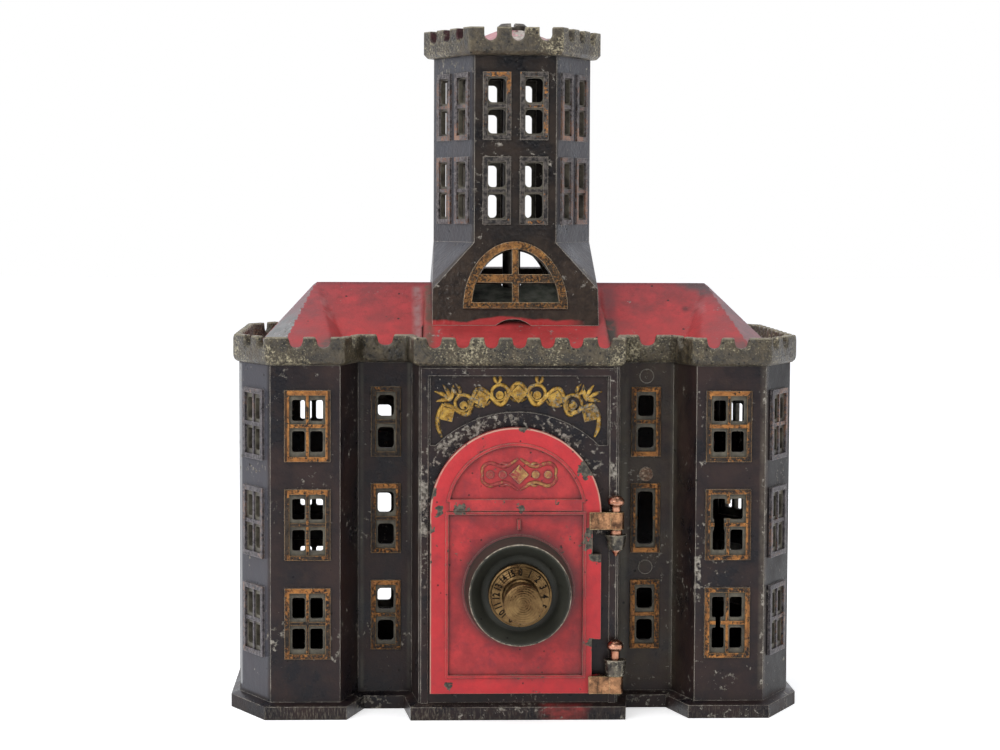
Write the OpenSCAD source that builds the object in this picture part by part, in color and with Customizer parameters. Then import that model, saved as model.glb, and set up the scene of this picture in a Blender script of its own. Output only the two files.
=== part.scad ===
// Cast iron toy bank: a castle with corner towers, a combination door and a central tower.
// Millimetres, +Z up. The origin is under the tie bolt, on the face that the bank stands on.
// The door faces -Y.

/* [Walls] */
// Half width of the whole plinth
plinth_x = 72.9; // [70:0.1:76]
// Front of the two front corner towers, from the bolt axis
tower_y = 46; // [45:0.1:47]
// Front of the door bay, from the bolt axis
bay_y = 47.2; // [46.6:0.1:48]
// Recessed wall between bay and corner tower, from the bolt axis
recess_y = 32.3; // [31:0.1:34]
// Height of the plinth's upright face
plinth_h = 3.3; // [3:0.1:3.8]
// Height of the walls under the battlements
wall_top = 88.9; // [88.5:0.1:89.3]
// Thickness of the iron walls
wall_t = 2.4; // [2:0.1:2.6]

/* [Battlements] */
// Top of the main battlements
merlon_top = 96; // [95.5:0.1:97]
// Floor of the gaps between the merlons
gap_floor = 93.3; // [93:0.1:93.6]
// Spacing of the merlons
merlon_pitch = 7.06; // [6.9:0.01:7.2]
// Width of a gap at its floor
gap_w = 3.1; // [2.8:0.1:3.4]

/* [Roof] */
// Height of the ridge
ridge_z = 108.5; // [107:0.1:110]
// Half length of the ridge
ridge_x = 52; // [50:0.1:54]
// Height at which the slopes start, inside the battlements
eaves_z = 89.2; // [89.1:0.1:89.3]

/* [Central tower] */
// Half width of the tower's front face
shaft_x = 10.6; // [10:0.1:11]
// Tower's front face, from the bolt axis
shaft_y = 19.5; // [19:0.1:20]
// Tower's side corners, from the bolt axis
shaft_corner = 20.8; // [20:0.1:21.5]
// Height where the tower starts to spread into its base
spread_z = 119.3; // [118.5:0.1:120]
// Top of the tower walls
shaft_top = 167.5; // [166:0.1:169]
// Top of the crown's battlements
crown_top = 174.6; // [174:0.1:176]

/* [Door] */
// Radius of the arched door top
door_r = 21.35; // [21:0.05:21.6]
// Middle of the door, left or right of the bolt axis
door_x = -0.85; // [-1:0.05:-0.7]
// Bottom of the door
door_z = 6.9; // [6.8:0.1:7.4]
// Height of the arch's centre
arch_z = 52.35; // [52:0.05:52.6]
// Hinge axis, right of the bolt axis
hinge_x = 24.2; // [24:0.1:24.4]
// Hinge axis, in front of the bolt axis
hinge_y = -47.6; // [-47.8:0.1:-47.5]

/* [Dial and lock] */
// Dial axis, right of the bolt axis
dial_x = -0.1; // [-0.3:0.1:0.3]
// Height of the dial axis
dial_z = 32.9; // [32.6:0.1:33.3]
// Length of the brass knob in front of the numbered face
knob_len = 12.6; // [11:0.1:14]
// Radius of the lock discs
disc_r = 9.5; // [9:0.1:10]

/* [Hidden] */
$fn = 48;
wall_in = 2.2;                       // walls stand this far inside the plinth
wall_back = wall_in + wall_t;        // inner face of the walls
rebate_z = 2;                        // the base plate sits in a rebate this deep
rebate_in = 3.3;
band_in = 0.64;                      // outer face of the battlements
band_t = 2.2;                        // and their thickness
eaves_in = 3.2;                      // the slopes start this far inside the plinth
roof_drop = 2.6;                     // roof thickness, measured upright
shaft_t = 2;                         // tower wall thickness
web_t = 1.25;                        // the walls are this thick around the panes
rear_spread = 1.0246;                // the rear windows stand a little further apart
rear_lift = 0.95;                    // and higher than the front ones
seam_y = 27;                         // joint between end castings and side plates

door_front = -48;
door_back = -45.2;
bay_face = -(bay_y - wall_in);
door_notch_x = 18.3;                 // the door's edge is cut back to here at the hinges
pin_r = 1.1;
bolt_r = 2.38;
spindle_r = 1.6;
run = 0.06;                          // running clearance on a radius
play = 0.15;                         // end play between turning pieces

// plan of the plinth, one quarter at a time, counter-clockwise
quarter = [[27, -bay_y], [28.6, -recess_y], [38.8, -recess_y], [43, -tower_y],
           [63.4, -tower_y], [plinth_x, -28.5]];
function flip(v) = [for (i = [len(v) - 1 : -1 : 0]) v[i]];
function mx(v) = [for (p = v) [-p[0], p[1]]];
function my(v) = [for (p = v) [p[0], -p[1]]];
plan = concat(quarter, flip(my(quarter)), mx(my(quarter)), flip(mx(quarter)));

// a polygon drawn in by d, for any outline that runs counter-clockwise
function unit(v) = v / norm(v);
function inward(p, q) = unit([p[1] - q[1], q[0] - p[0]]);
function inset(v, d) = let (n = len(v)) [for (i = [0 : n - 1])
    let (a = inward(v[(i + n - 1) % n], v[i]), b = inward(v[i], v[(i + 1) % n]))
    v[i] + (a + b) * d / (1 + a * b)];

hexagon = [[shaft_x, -shaft_y], [shaft_corner, 0], [shaft_x, shaft_y],
           [-shaft_x, shaft_y], [-shaft_corner, 0], [-shaft_x, -shaft_y]];

// rows of windows in the walls, from the bottom up
row_z = [15.1, 40, 64.8];
row_h = 17.8;
// the tower's own two rows
tower_row_z = [124, 145.8];
tower_row_h = 17.4;

facet_front = inset(plan, wall_in)[4];
facet_side = inset(plan, wall_in)[5];
facet_turn = atan2(facet_side[1] - facet_front[1], facet_side[0] - facet_front[0]);
shaft_turn = atan2(shaft_y, shaft_corner - shaft_x);

iron = [0.13, 0.11, 0.10];
olive = [0.30, 0.28, 0.20];
red = [0.66, 0.17, 0.17];
brass = [0.60, 0.46, 0.24];
copper = [0.72, 0.42, 0.28];
steel = [0.45, 0.45, 0.46];

// the inside of an outline in convex pieces; the plinth's is cut into strips, front to rear
function pieces(n) = n == 6 ? [[0, 1, 2, 3, 4, 5]]
    : [for (i = [18 : 28]) [i % n, (i + 1) % n, (58 - i) % n, (59 - i) % n]];

// a solid through several rings of one outline, each ring as [inset, height], from the bottom up
module loft(v, rings) {
    n = len(v);
    last = len(rings) - 1;
    polyhedron(
        points = [for (r = rings) for (p = inset(v, r[0])) [p[0], p[1], r[1]]],
        faces = concat(pieces(n), [for (c = pieces(n)) [for (i = [len(c) - 1 : -1 : 0]) c[i] + n * last]],
            [for (k = [0 : last - 1]) for (i = [0 : n - 1])
                [k * n + i, (k + 1) * n + i, (k + 1) * n + (i + 1) % n, k * n + (i + 1) % n]]));
}

module slab(v, d, z0, z1) {
    translate([0, 0, z0]) linear_extrude(z1 - z0) polygon(inset(v, d));
}

// stands on a wall's outer face: x runs along it, -y points out of it
module on_face(p, turn) {
    translate([p[0], p[1], 0]) rotate([0, 0, turn]) children();
}

// a profile drawn in x and z, from y = y0 to y1
module upright(y0, y1) {
    translate([0, y1, 0]) rotate([90, 0, 0]) linear_extrude(y1 - y0) children();
}

// kinds of window: width, columns of panes, pane width and height, gap between columns and
// between rows, pane corner radius
wide = [11.4, 2, 3.2, 5.3, 1.3, 2.5, 0.6];
slim = [7.5, 1, 4.1, 5.4, 0, 2.8, 1];
high = [7.2, 1, 4.5, 6.2, 0, 1.8, 1.1];

module rounded(w, h, r) {
    translate([-w / 2 + r, -h / 2]) square([w - 2 * r, h]);
    translate([-w / 2, -h / 2 + r]) square([w, h - 2 * r]);
    for (x = [-1, 1], y = [-1, 1]) translate([x * (w / 2 - r), y * (h / 2 - r)])
        circle(r = r, $fn = 24);
}

module window_panes(kind, h) {
    for (c = [0 : kind[1] - 1], r = [-1, 1]) upright(-2, wall_t + 2)
        translate([(c - (kind[1] - 1) / 2) * (kind[2] + kind[4]),
            h / 2 + r * (kind[3] + kind[5]) / 2]) rounded(kind[2], kind[3], kind[6]);
}

// pocket behind a window, which leaves a thin web for its panes
module window_pocket(kind, h) {
    upright(web_t, wall_t + 3) translate([-kind[0] / 2 + 0.3, 0.3])
        square([kind[0] - 0.6, h - 0.6]);
}

// raised border, and raised strips along the glazing bars
module window_trim(kind, h, proud = 0.7) {
    w = kind[0];
    upright(-proud, 0.3) difference() {
        translate([-w / 2, 0]) square([w, h]);
        translate([-w / 2 + 1.2, 1.2]) square([w - 2.4, h - 2.4]);
    }
    upright(-proud + 0.25, 0.3) {
        translate([-w / 2 + 1.1, h / 2 - 0.45]) square([w - 2.2, 0.9]);
        if (kind[1] > 1) translate([-0.35, 1.1]) square([0.7, h - 2.2]);
    }
}

// every window of one end: [place, turn, kind]
end_windows = [
    [[-52.8, -tower_y + wall_in], 0, wide],
    [[52.8, -tower_y + wall_in], 0, wide],
    [[-33.3, -recess_y + wall_in], 0, slim],
    [(facet_front + facet_side) / 2, facet_turn, wide],
    [[-(facet_front + facet_side)[0], (facet_front + facet_side)[1]] / 2, -facet_turn, wide],
    [[33.3, -recess_y + wall_in], 0, slim]];

// the ring of walls with plinth, open above and below
module wall_ring() {
    difference() {
        loft(plan, [[0, 0], [0, plinth_h], [wall_in, plinth_h + 0.8], [wall_in, wall_top]]);
        slab(plan, wall_back, -1, wall_top + 1);
        slab(plan, rebate_in, -1, rebate_z);
    }
}

// a window's place and height in the front or the rear wall
function window_at(w, front) = front || w[1] != 0 ? w[0] : [w[0][0] * rear_spread, w[0][1]];
function row_at(z, front) = front ? z : z + rear_lift;

module end_wall(front) {
    difference() {
        union() {
            difference() {
                intersection() {
                    wall_ring();
                    translate([-80, -60, -1]) cube([160, 60 - seam_y, 100]);
                }
                for (w = end_windows, z = row_z) on_face(window_at(w, front), w[1])
                    translate([0, 0, row_at(z, front)]) {
                        window_panes(w[2], row_h);
                        window_pocket(w[2], row_h);
                    }
                if (front) doorway();
                else for (s = [-1, 1], z = row_z) translate([9 * s, bay_face, z + rear_lift])
                    window_panes(slim, row_h);
            }
            for (w = end_windows, z = row_z) on_face(window_at(w, front), w[1])
                translate([0, 0, row_at(z, front)]) window_trim(w[2], row_h);
        }
        if (front) broken_bars();
    }
}

// glazing bars that have broken out: [window, row, left, bottom, width, height]
breaks = [[5, 1, -2.05, 4, 4.1, 9.8], [1, 1, -0.9, 10.4, 1.8, 3.8], [1, 1, -3.5, 7.4, 2.6, 3],
          [1, 0, -2.9, 7.4, 1.3, 3]];
module broken_bars() {
    for (b = breaks) on_face(end_windows[b[0]][0], 0) translate([0, 0, row_z[b[1]]])
        upright(-2, wall_t + 2) translate([b[2], b[3]]) square([b[4], b[5]]);
}

// door opening, sunk panel over the arch and the holes for the catch screws
module doorway() {
    upright(bay_face - 3, bay_face + 5) arch(door_r - 3.55, 9.5);
    upright(bay_face - 1, bay_face + 0.7) difference() {
        translate([-22.2, 69]) square([44.4, 17.4]);
        translate([-0.4, 48.3]) circle(r = 29.1, $fn = 96);
    }
    for (z = [-4, 4]) translate([catch_screw_x, bay_face + 0.9, dial_z + z])
        rotate([-90, 0, 0]) cylinder(r = 0.8, h = 2, $fn = 24);
}

module arch(r, z0) {
    translate([door_x, arch_z]) circle(r = r, $fn = 96);
    translate([door_x - r, z0]) square([2 * r, arch_z - z0]);
}

// fixed half of a hinge, standing on the bay's corner
module frame_knuckle(z0, z1, foot_r) {
    difference() {
        union() {
            translate([hinge_x, hinge_y, z0]) cylinder(r1 = foot_r, r2 = 2.75, h = z1 - z0);
            translate([hinge_x - 1.9, hinge_y, z0]) cube([2.3, bay_face - hinge_y + 0.3, z1 - z0]);
        }
        translate([hinge_x, hinge_y, z0 - 1]) cylinder(r = pin_r, h = z1 - z0 + 2);
    }
}

// small raised lozenges and beads along the sunk panel over the arch
module panel_ornament() {
    for (i = [-4 : 4]) translate([-0.2, 0, 48.3]) rotate([0, i * 8, 0])
        translate([0, bay_face + 0.8, 33.6]) rotate([90, 0, 0])
            if (i % 2 == 0) cylinder(r = 2.3, h = 0.6, $fn = 4);
            else cylinder(r = 1, h = 0.6, $fn = 24);
}

module base_plate() {
    color(iron) difference() {
        union() {
            slab(plan, rebate_in + 0.1, 0, rebate_z);
            cylinder(r = 6, h = 11);
            for (s = [-1, 1]) translate([s * 36 - 22, -1, 1]) cube([44, 2, 3]);
        }
        translate([0, 0, 3.5]) cylinder(r = bolt_r + 0.04, h = 10);
    }
}

module front_wall() {
    color(iron) {
        end_wall(true);
        for (x = [-24.5, 22.7]) translate([x, bay_face - 0.35, plinth_h + 0.5])
            cube([1.8, 0.6, 84.5]);
        translate([-24.5, bay_face - 0.35, 86.4]) cube([49, 0.6, 1.9]);
        frame_knuckle(43.2, 46.9, 1.9);
        frame_knuckle(11.5, 15.4, 2.45);
        for (z = [36.2, 60.2, 85.4]) translate([33.4, -recess_y + wall_in + 0.3, z])
            rotate([90, 0, 0]) cylinder(r = 1.8, h = 0.7);
        panel_ornament();
    }
}

module rear_wall() {
    color(iron) mirror([0, 1, 0]) {
        end_wall(false);
        for (s = [-1, 1], z = row_z) translate([9 * s, bay_face, z + rear_lift])
            window_trim(slim, row_h);
    }
}

module side_wall() {
    color(iron) intersection() {
        wall_ring();
        translate([0, -seam_y, -1]) cube([80, 2 * seam_y, 100]);
    }
}

module right_wall() { side_wall(); }
module left_wall() { mirror([1, 0, 0]) side_wall(); }

// hipped form between a rectangle at the eaves and a length of ridge
module hip(x, y, ridge) {
    polyhedron(
        points = [[-x, -y, eaves_z], [x, -y, eaves_z], [x, y, eaves_z], [-x, y, eaves_z],
                  [-ridge, 0, ridge_z], [ridge, 0, ridge_z]],
        faces = [[0, 1, 2, 3], [1, 0, 4, 5], [2, 1, 5], [3, 2, 5, 4], [0, 3, 4]]);
}

// one end of the roof: a point over the octagon of two corner towers
module roof_end() {
    v = inset([for (i = [2 : 9]) plan[i]], eaves_in);
    n = len(v);
    polyhedron(
        points = concat([for (p = v) [p[0], p[1], eaves_z]], [[ridge_x, 0, ridge_z]]),
        faces = concat([[for (i = [0 : n - 1]) i]],
                       [for (i = [0 : n - 1]) [(i + 1) % n, i, n]]));
}

module roof_form() {
    hip(ridge_x, recess_y - eaves_in, ridge_x);
    hip(27 - eaves_in + 0.4, bay_y - eaves_in, 23);
    roof_end();
    mirror([1, 0, 0]) roof_end();
}

// gap between two merlons: wider at the top, with its floor corners eased
module gap(w, floor_z, top_z) {
    upright(-1.5, 4) polygon([[-w / 2, floor_z + 0.5], [-w / 2 + 0.5, floor_z],
        [w / 2 - 0.5, floor_z], [w / 2, floor_z + 0.5], [w / 2 + 0.35, top_z + 1],
        [-w / 2 - 0.35, top_z + 1]]);
}

// gaps along one side of the battlements, at distances from its first corner
module gaps_along(p, q, places, w) {
    on_face(p, atan2(q[1] - p[1], q[0] - p[0]))
        for (s = places) translate([s, 0, 0]) gap(w, gap_floor, merlon_top);
}

module battlement_gaps() {
    v = inset(plan, band_in);
    half_bay = v[0][0];
    for (m = [0, 1]) mirror([0, m, 0]) {
        on_face([0, v[0][1]], 0) for (i = [-3 : 3]) translate([i * merlon_pitch, 0, 0])
            gap(gap_w, gap_floor, merlon_top);
        for (k = [0, 1]) mirror([k, 0, 0]) {
            gaps_along(v[0], v[1], [7.5], 3);
            gaps_along(v[1], v[2], [33.5 - v[1][0]], 3.6);
            gaps_along(v[2], v[3], [6.4], 2.6);
            gaps_along(v[3], v[4], [48.75 - v[3][0], 55.6 - v[3][0]], gap_w);
            gaps_along(v[4], v[5], [3.6, 11.2], gap_w);
        }
    }
    for (k = [0, 1]) mirror([k, 0, 0]) on_face([v[5][0], 0], 90)
        for (i = [-3.5 : 3.5]) translate([i * merlon_pitch, 0, 0])
            gap(gap_w, gap_floor, merlon_top);
}

module roof() {
    color(red) difference() {
        union() {
            difference() {
                loft(plan, [[band_in + 0.9, wall_top], [band_in, wall_top + 1],
                    [band_in, merlon_top]]);
                slab(plan, band_in + band_t, wall_top + 0.6, merlon_top + 1);
                battlement_gaps();
            }
            roof_form();
        }
        translate([0, 0, -roof_drop]) roof_form();
        cylinder(r = 2.6, h = 120);
        translate([-13.5, 32, 85]) cube([27, 2.8, 20]);
    }
    color(red) difference() {
        slab(plan, wall_back + 0.15, wall_top - 1.7, wall_top + 0.2);
        slab(plan, wall_back + 1.5, wall_top - 3, wall_top + 2);
    }
}

// the tower as a solid, drawn in by d all round
module tower_form(d) {
    low = [21.5 - d, 24.7 - d];
    mid = [21.4 - d, 22.1 - d];
    slab(hexagon, d, spread_z - 0.5, shaft_top + (d > 0 ? 1 : 0));
    polyhedron(
        points = concat([for (p = inset(hexagon, d)) [p[0], p[1], spread_z]],
            [for (s = [[1, -1], [1, 1], [-1, 1], [-1, -1]]) [s[0] * mid[0], s[1] * mid[1], 107.3]]),
        faces = [[5, 4, 3, 2, 1, 0], [6, 7, 8, 9], [0, 1, 6], [1, 7, 6], [1, 2, 7],
                 [2, 3, 8, 7], [3, 4, 8], [4, 9, 8], [4, 5, 9], [5, 0, 6, 9]]);
    polyhedron(
        points = concat(
            [for (s = [[1, -1], [1, 1], [-1, 1], [-1, -1]]) [s[0] * mid[0], s[1] * mid[1], 107.3]],
            [for (s = [[1, -1], [1, 1], [-1, 1], [-1, -1]]) [s[0] * low[0], s[1] * low[1], 95]]),
        faces = [[3, 2, 1, 0], [4, 5, 6, 7], [0, 1, 5, 4], [1, 2, 6, 5], [2, 3, 7, 6], [3, 0, 4, 7]]);
}

function oval(a, b, n) = [for (i = [0 : n]) [a * cos(180 * i / n), b * sin(180 * i / n)]];

// arched window in the tower's spreading base, drawn on the upright and leaned back
arch_base_z = 102.1;
lean = atan2(22.1 - shaft_y, spread_z - 107.3);
module on_base_face(lift) {
    translate([0, -22.1, 107.3]) rotate([-lean, 0, 0])
        translate([0, 0, arch_base_z + lift - 107.3]) children();
}

module arch_hole(lift) {
    on_base_face(lift) upright(-2, 6) intersection() {
        polygon(oval(11.3, 15.6, 40));
        translate([-20, 1.6]) square([40, 20]);
    }
}

module arch_frame(lift) {
    on_base_face(lift) {
        upright(-0.8, 0.8) difference() {
            polygon(oval(13.5, 17.6, 40));
            intersection() {
                polygon(oval(11.3, 15.6, 40));
                translate([-20, 1.6]) square([40, 20]);
            }
        }
        upright(-0.5, 1.4) {
            translate([-0.85, 1]) square([1.7, 15]);
            translate([-10.8, 6.8]) square([21.6, 2.2]);
        }
    }
}

// the tower's windows, with those of its front or rear face drawn aside by offset
module tower_windows(hole, offset) {
    faces = [[[offset, -shaft_y], 0],
        [[(shaft_x + shaft_corner) / 2, -shaft_y / 2], shaft_turn],
        [[-(shaft_x + shaft_corner) / 2, -shaft_y / 2], -shaft_turn]];
    for (f = faces, x = [-4.8, 4.8], z = tower_row_z)
        on_face(f[0], f[1]) translate([x, 0, z])
            if (hole) {
                window_panes(high, tower_row_h);
                window_pocket(high, tower_row_h);
            }
            else window_trim(high, tower_row_h, 0.6);
}

module tower_half(offset, lift) {
    difference() {
        tower_form(0);
        tower_form(shaft_t);
        translate([-30, 0, 90]) cube([60, 40, 90]);
        roof_form();
        tower_windows(true, offset);
        arch_hole(lift);
        translate([-0.6, -30, 92.6]) rotate([-90, 0, 0]) cylinder(r = 7, h = 15, $fn = 64);
    }
    tower_windows(false, offset);
    arch_frame(lift);
}

module tower_front() { color(iron) tower_half(0, 0); }
module tower_rear() { color(iron) mirror([0, 1, 0]) tower_half(-0.7, 1); }

// crown with its own battlements and a low six-sided roof
crown_out = -2.45;
crown_slope = 0.42;
crown_peak = 176.7;
function peak_points(d, drop) = concat(
    [for (p = inset(hexagon, d)) [p[0], p[1], crown_peak - drop - crown_slope * (shaft_y - d)]],
    [[0, 0, crown_peak - drop]]);

module crown_peak_form(d, drop) {
    polyhedron(points = peak_points(d, drop),
        faces = [[0, 1, 2, 3, 4, 5], [1, 0, 6], [2, 1, 6], [3, 2, 6], [4, 3, 6], [5, 4, 6], [0, 5, 6]]);
}

module crown_gaps() {
    v = inset(hexagon, crown_out);
    for (i = [0 : 5]) {
        p = v[i];
        q = v[(i + 1) % 6];
        middle = (p + q) / 2;
        on_face(middle, atan2(q[1] - p[1], q[0] - p[0])) for (k = [-1 : 1])
            translate([k * 7.1 + (i == 5 ? 0.5 : 0), 0, 0]) upright(-1.5, 3.2) {
                translate([0, 172.8]) circle(r = 1.65, $fn = 32);
                translate([-1.65, 172.8]) square([3.3, 4]);
            }
    }
}

module tower_crown() {
    color(olive) difference() {
        union() {
            difference() {
                loft(hexagon, [[crown_out + 1, shaft_top], [crown_out, shaft_top + 1.1],
                    [crown_out, crown_top]]);
                slab(hexagon, crown_out + 2.2, shaft_top + 1.2, crown_top + 1);
                crown_gaps();
            }
            crown_peak_form(-0.35, 0);
            difference() {
                slab(hexagon, shaft_t + 0.1, shaft_top - 2, shaft_top + 0.5);
                slab(hexagon, shaft_t + 1.6, shaft_top - 3, shaft_top + 1);
            }
        }
        crown_peak_form(3.7, 2.2);
        translate([-5, -5, crown_peak - 1.7]) cube([10, 10, 5]);
        translate([0, 0, 160]) cylinder(r = 2.5, h = 20);
    }
}

// long bolt with a round slotted head, from the crown down into the base plate
module tie_bolt() {
    head_z = crown_peak - 1.7;
    color(steel) difference() {
        union() {
            translate([0, 0, 4]) cylinder(r = bolt_r, h = head_z - 4 + 0.1);
            translate([0, 0, head_z]) cylinder(r = 3.85, h = 1.25);
            translate([0, 0, head_z + 1.25]) cylinder(r1 = 3.85, r2 = 3.1, h = 0.65);
        }
        translate([-0.5, -5, head_z + 0.9]) cube([1, 10, 2]);
    }
}

// the door: arched plate with two sunk panels, a dished dial boss and two hinge lugs
module door_lug(z0, z1) {
    difference() {
        union() {
            translate([hinge_x, hinge_y, z0]) cylinder(r = 2, h = z1 - z0);
            translate([17.5, hinge_y - 1.4, z0]) cube([hinge_x - 17.5, 2.6, z1 - z0]);
        }
        translate([hinge_x, hinge_y, z0 - 1]) cylinder(r = pin_r + run, h = z1 - z0 + 2);
    }
}

module door_outline() {
    difference() {
        arch(door_r, door_z);
        translate([door_notch_x, 41.9]) square([10, 6.4]);
        translate([door_notch_x, 11.3]) square([10, 9.3]);
    }
}

module top_panel(grow) {
    intersection() {
        translate([door_x, arch_z]) circle(r = 16.8 + grow, $fn = 96);
        translate([-30, 55.8 - grow]) square([60, 30]);
    }
}

module low_panel(grow) {
    translate([door_x - 16.8 - grow, 11.6 - grow]) square([33.6 + 2 * grow, 40.4 + 2 * grow]);
}

dish_floor = 4.2;
boss_h = 8;
module door() {
    color(red) difference() {
        union() {
            upright(door_front, door_back) difference() {
                door_outline();
                translate([dial_x, dial_z]) circle(r = 5);
            }
            upright(door_front - 0.35, door_front + 0.2) {
                difference() { top_panel(0.7); top_panel(0); }
                difference() { low_panel(0.7); low_panel(0); }
                translate([door_x - 16.5, 52.9]) square([33, 2.4]);
            }
            translate([dial_x, door_front + 0.5, dial_z]) rotate([90, 0, 0])
                cylinder(r1 = 13.65, r2 = 12.65, h = boss_h + 0.5, $fn = 96);
            translate([dial_x, -43.2, dial_z]) rotate([90, 0, 0]) cylinder(r = 5, h = 4);
            translate([dial_x - 0.35, door_front - 0.5, 48.2]) cube([0.7, 1.2, 2.6]);
            door_lug(48.3, 52.6);
            door_lug(6.95, 11.3);
            translate([0, door_front + 0.4, 62]) rotate([90, 0, 0]) {
                translate([dial_x, 0, 0]) cylinder(r = 2.4, h = 0.5, $fn = 4);
                for (x = [-7.2, -4.1, 4.1, 7.2]) translate([dial_x + x, 0, 0])
                    cylinder(r = 0.95, h = 0.5, $fn = 24);
            }
        }
        difference() {
            upright(door_front - 2, door_front + 0.45) { top_panel(0); low_panel(0); }
            upright(door_front - 3, door_front + 1) translate([dial_x, dial_z])
                circle(r = 14, $fn = 96);
            translate([0, door_front + 2, 62]) rotate([90, 0, 0]) {
                translate([dial_x, 0, 0]) cylinder(r = 2.4, h = 3, $fn = 4);
                for (x = [-7.2, -4.1, 4.1, 7.2]) translate([dial_x + x, 0, 0])
                    cylinder(r = 0.95, h = 3, $fn = 24);
            }
            translate([dial_x - 0.35, door_front - 2, 48.2]) cube([0.7, 3, 2.6]);
        }
        translate([dial_x, door_front - dish_floor, dial_z]) rotate([90, 0, 0])
            cylinder(r1 = 9.4, r2 = 12.2, h = boss_h - dish_floor + 0.01, $fn = 96);
        translate([dial_x, 0, dial_z]) rotate([90, 0, 0])
            cylinder(r = spindle_r + run, h = 70);
    }
}

// hinge pin with a round head; foot is its lower end
module hinge_pin(foot, head_z) {
    translate([hinge_x, hinge_y, 0]) {
        translate([0, 0, foot]) cylinder(r = pin_r, h = head_z - foot + 0.5);
        translate([0, 0, head_z]) rotate_extrude() polygon([[0, 0], [1.5, 0], [2.05, 0.7],
            [2.05, 1.5], [1.5, 2.3], [0.8, 2.6], [0, 2.7]]);
    }
}

module upper_hinge_pin() {
    color(copper) {
        hinge_pin(43, 54);
        translate([hinge_x, hinge_y, 41.4]) cylinder(r1 = 0.15, r2 = 1.25, h = 1.6);
        translate([hinge_x, hinge_y, 46.9]) cylinder(r = 1.5, h = 1.25);
    }
}

module lower_hinge_pin() { color(copper) hinge_pin(6.8, 17.7); }

// pieces on the dial's axis: y0 is the end nearer the front
module on_dial(y0) {
    translate([dial_x, y0, dial_z]) rotate([-90, 0, 0]) children();
}

face_y = door_front - 9.2;
module dial_knob() {
    color(brass) on_dial(face_y - knob_len) difference() {
        rotate_extrude() polygon([[0, 0], [4.5, 0], [4.74, 0.25], [4.74, 2.6], [4.2, 3.6],
            [3.3, 4.8], [2.9, 6.8], [3.1, 8.8], [3.9, 10.6], [4.6, 11.6], [4.6, knob_len],
            [7, knob_len], [7.2, knob_len + 0.2], [7.2, knob_len + 0.9], [7.85, knob_len + 1.3],
            [7.85, knob_len + 4.8], [0, knob_len + 4.8]]);
        translate([0, 0, 6]) cylinder(r = spindle_r, h = 20);
    }
}

module dial_spindle() {
    color(steel) on_dial(face_y - knob_len + 6) cylinder(r = spindle_r, h = -34 - (face_y - knob_len + 6));
}

// depth of each piece behind the door, from the front
collar_y = -43.2 + play;
front_disc_y = -40.9;
disc_t = 1;
spacer_t = 0.7;
front_spacer_y = front_disc_y + disc_t + play;
rear_disc_y = front_spacer_y + spacer_t + play;
drive_spacer_y = rear_disc_y + disc_t + play;
drive_y = drive_spacer_y + spacer_t;

module ring(y0, r, h) {
    on_dial(y0) difference() {
        cylinder(r = r, h = h);
        translate([0, 0, -1]) cylinder(r = spindle_r, h = h + 2);
    }
}

module spindle_collar() { color(brass) ring(collar_y, 3, front_disc_y - play - collar_y); }
module tumbler_spacer() { color(brass) ring(front_spacer_y, 3, spacer_t); }
module drive_spacer() { color(brass) ring(drive_spacer_y, 3, spacer_t); }

// lock disc with the notch that lets the catch through, and its pick-up pegs
peg_r = 0.55;
peg_at = 4.6;
peg_step = 15;
module lock_disc(y0, bore, front_peg, rear_peg) {
    difference() {
        on_dial(y0) cylinder(r = disc_r, h = disc_t, $fn = 72);
        translate([dial_x - disc_r - 2, y0 - 1, dial_z - 3]) cube([disc_r - 3.3, disc_t + 2, 6]);
        on_dial(y0 - 1) cylinder(r = bore, h = disc_t + 2);
    }
    for (peg = [front_peg, rear_peg]) if (len(peg) > 0)
        translate([dial_x, y0 + peg[1], dial_z]) rotate([0, peg[0], 0])
            translate([0, 0, peg_at]) rotate([-90, 0, 0]) cylinder(r = peg_r, h = 1.1, $fn = 24);
}

module front_tumbler() {
    color(brass) lock_disc(front_disc_y, spindle_r + run, [], [180, 0.6]);
}
module rear_tumbler() {
    color(brass) lock_disc(rear_disc_y, spindle_r + run, [180 + peg_step, -0.7], [0, 0.5]);
}
module drive_disc() {
    color(steel) lock_disc(drive_y, spindle_r, [peg_step, -0.6], []);
}

module spindle_nut() {
    color(steel) on_dial(drive_y + disc_t) difference() {
        cylinder(r = 3.4, h = 1.7, $fn = 6);
        translate([0, 0, -1]) cylinder(r = spindle_r, h = 4);
    }
}

// iron finger behind the left jamb that holds the discs in, and its two screws
catch_screw_x = -20.3;
catch_tip_x = -7.5;
module lock_catch() {
    y = bay_face + wall_t;
    color(iron) difference() {
        union() {
            translate([-22, y, dial_z - 6]) cube([8.5, 1.3, 12]);
            translate([-22, y, dial_z - 2]) cube([catch_tip_x + 22, 1.3, 4]);
        }
        for (z = [-4, 4]) translate([catch_screw_x, y - 1, dial_z + z]) rotate([-90, 0, 0])
            cylinder(r = 0.9, h = 4, $fn = 24);
    }
}

module catch_screws() {
    y = bay_face + wall_t + 1.3;
    color(steel) for (z = [-4, 4]) translate([catch_screw_x, y, dial_z + z]) difference() {
        union() {
            rotate([-90, 0, 0]) cylinder(r1 = 1.5, r2 = 1.1, h = 0.9, $fn = 24);
            rotate([90, 0, 0]) cylinder(r = 0.78, h = 2.7, $fn = 24);
        }
        translate([-2, 0.45, -0.2]) cube([4, 1, 0.4]);
    }
}

base_plate();
front_wall();
rear_wall();
left_wall();
right_wall();
roof();
tower_front();
tower_rear();
tower_crown();
tie_bolt();
door();
upper_hinge_pin();
lower_hinge_pin();
dial_knob();
dial_spindle();
spindle_collar();
front_tumbler();
tumbler_spacer();
rear_tumbler();
drive_spacer();
drive_disc();
spindle_nut();
lock_catch();
catch_screws();
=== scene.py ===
import math

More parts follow.
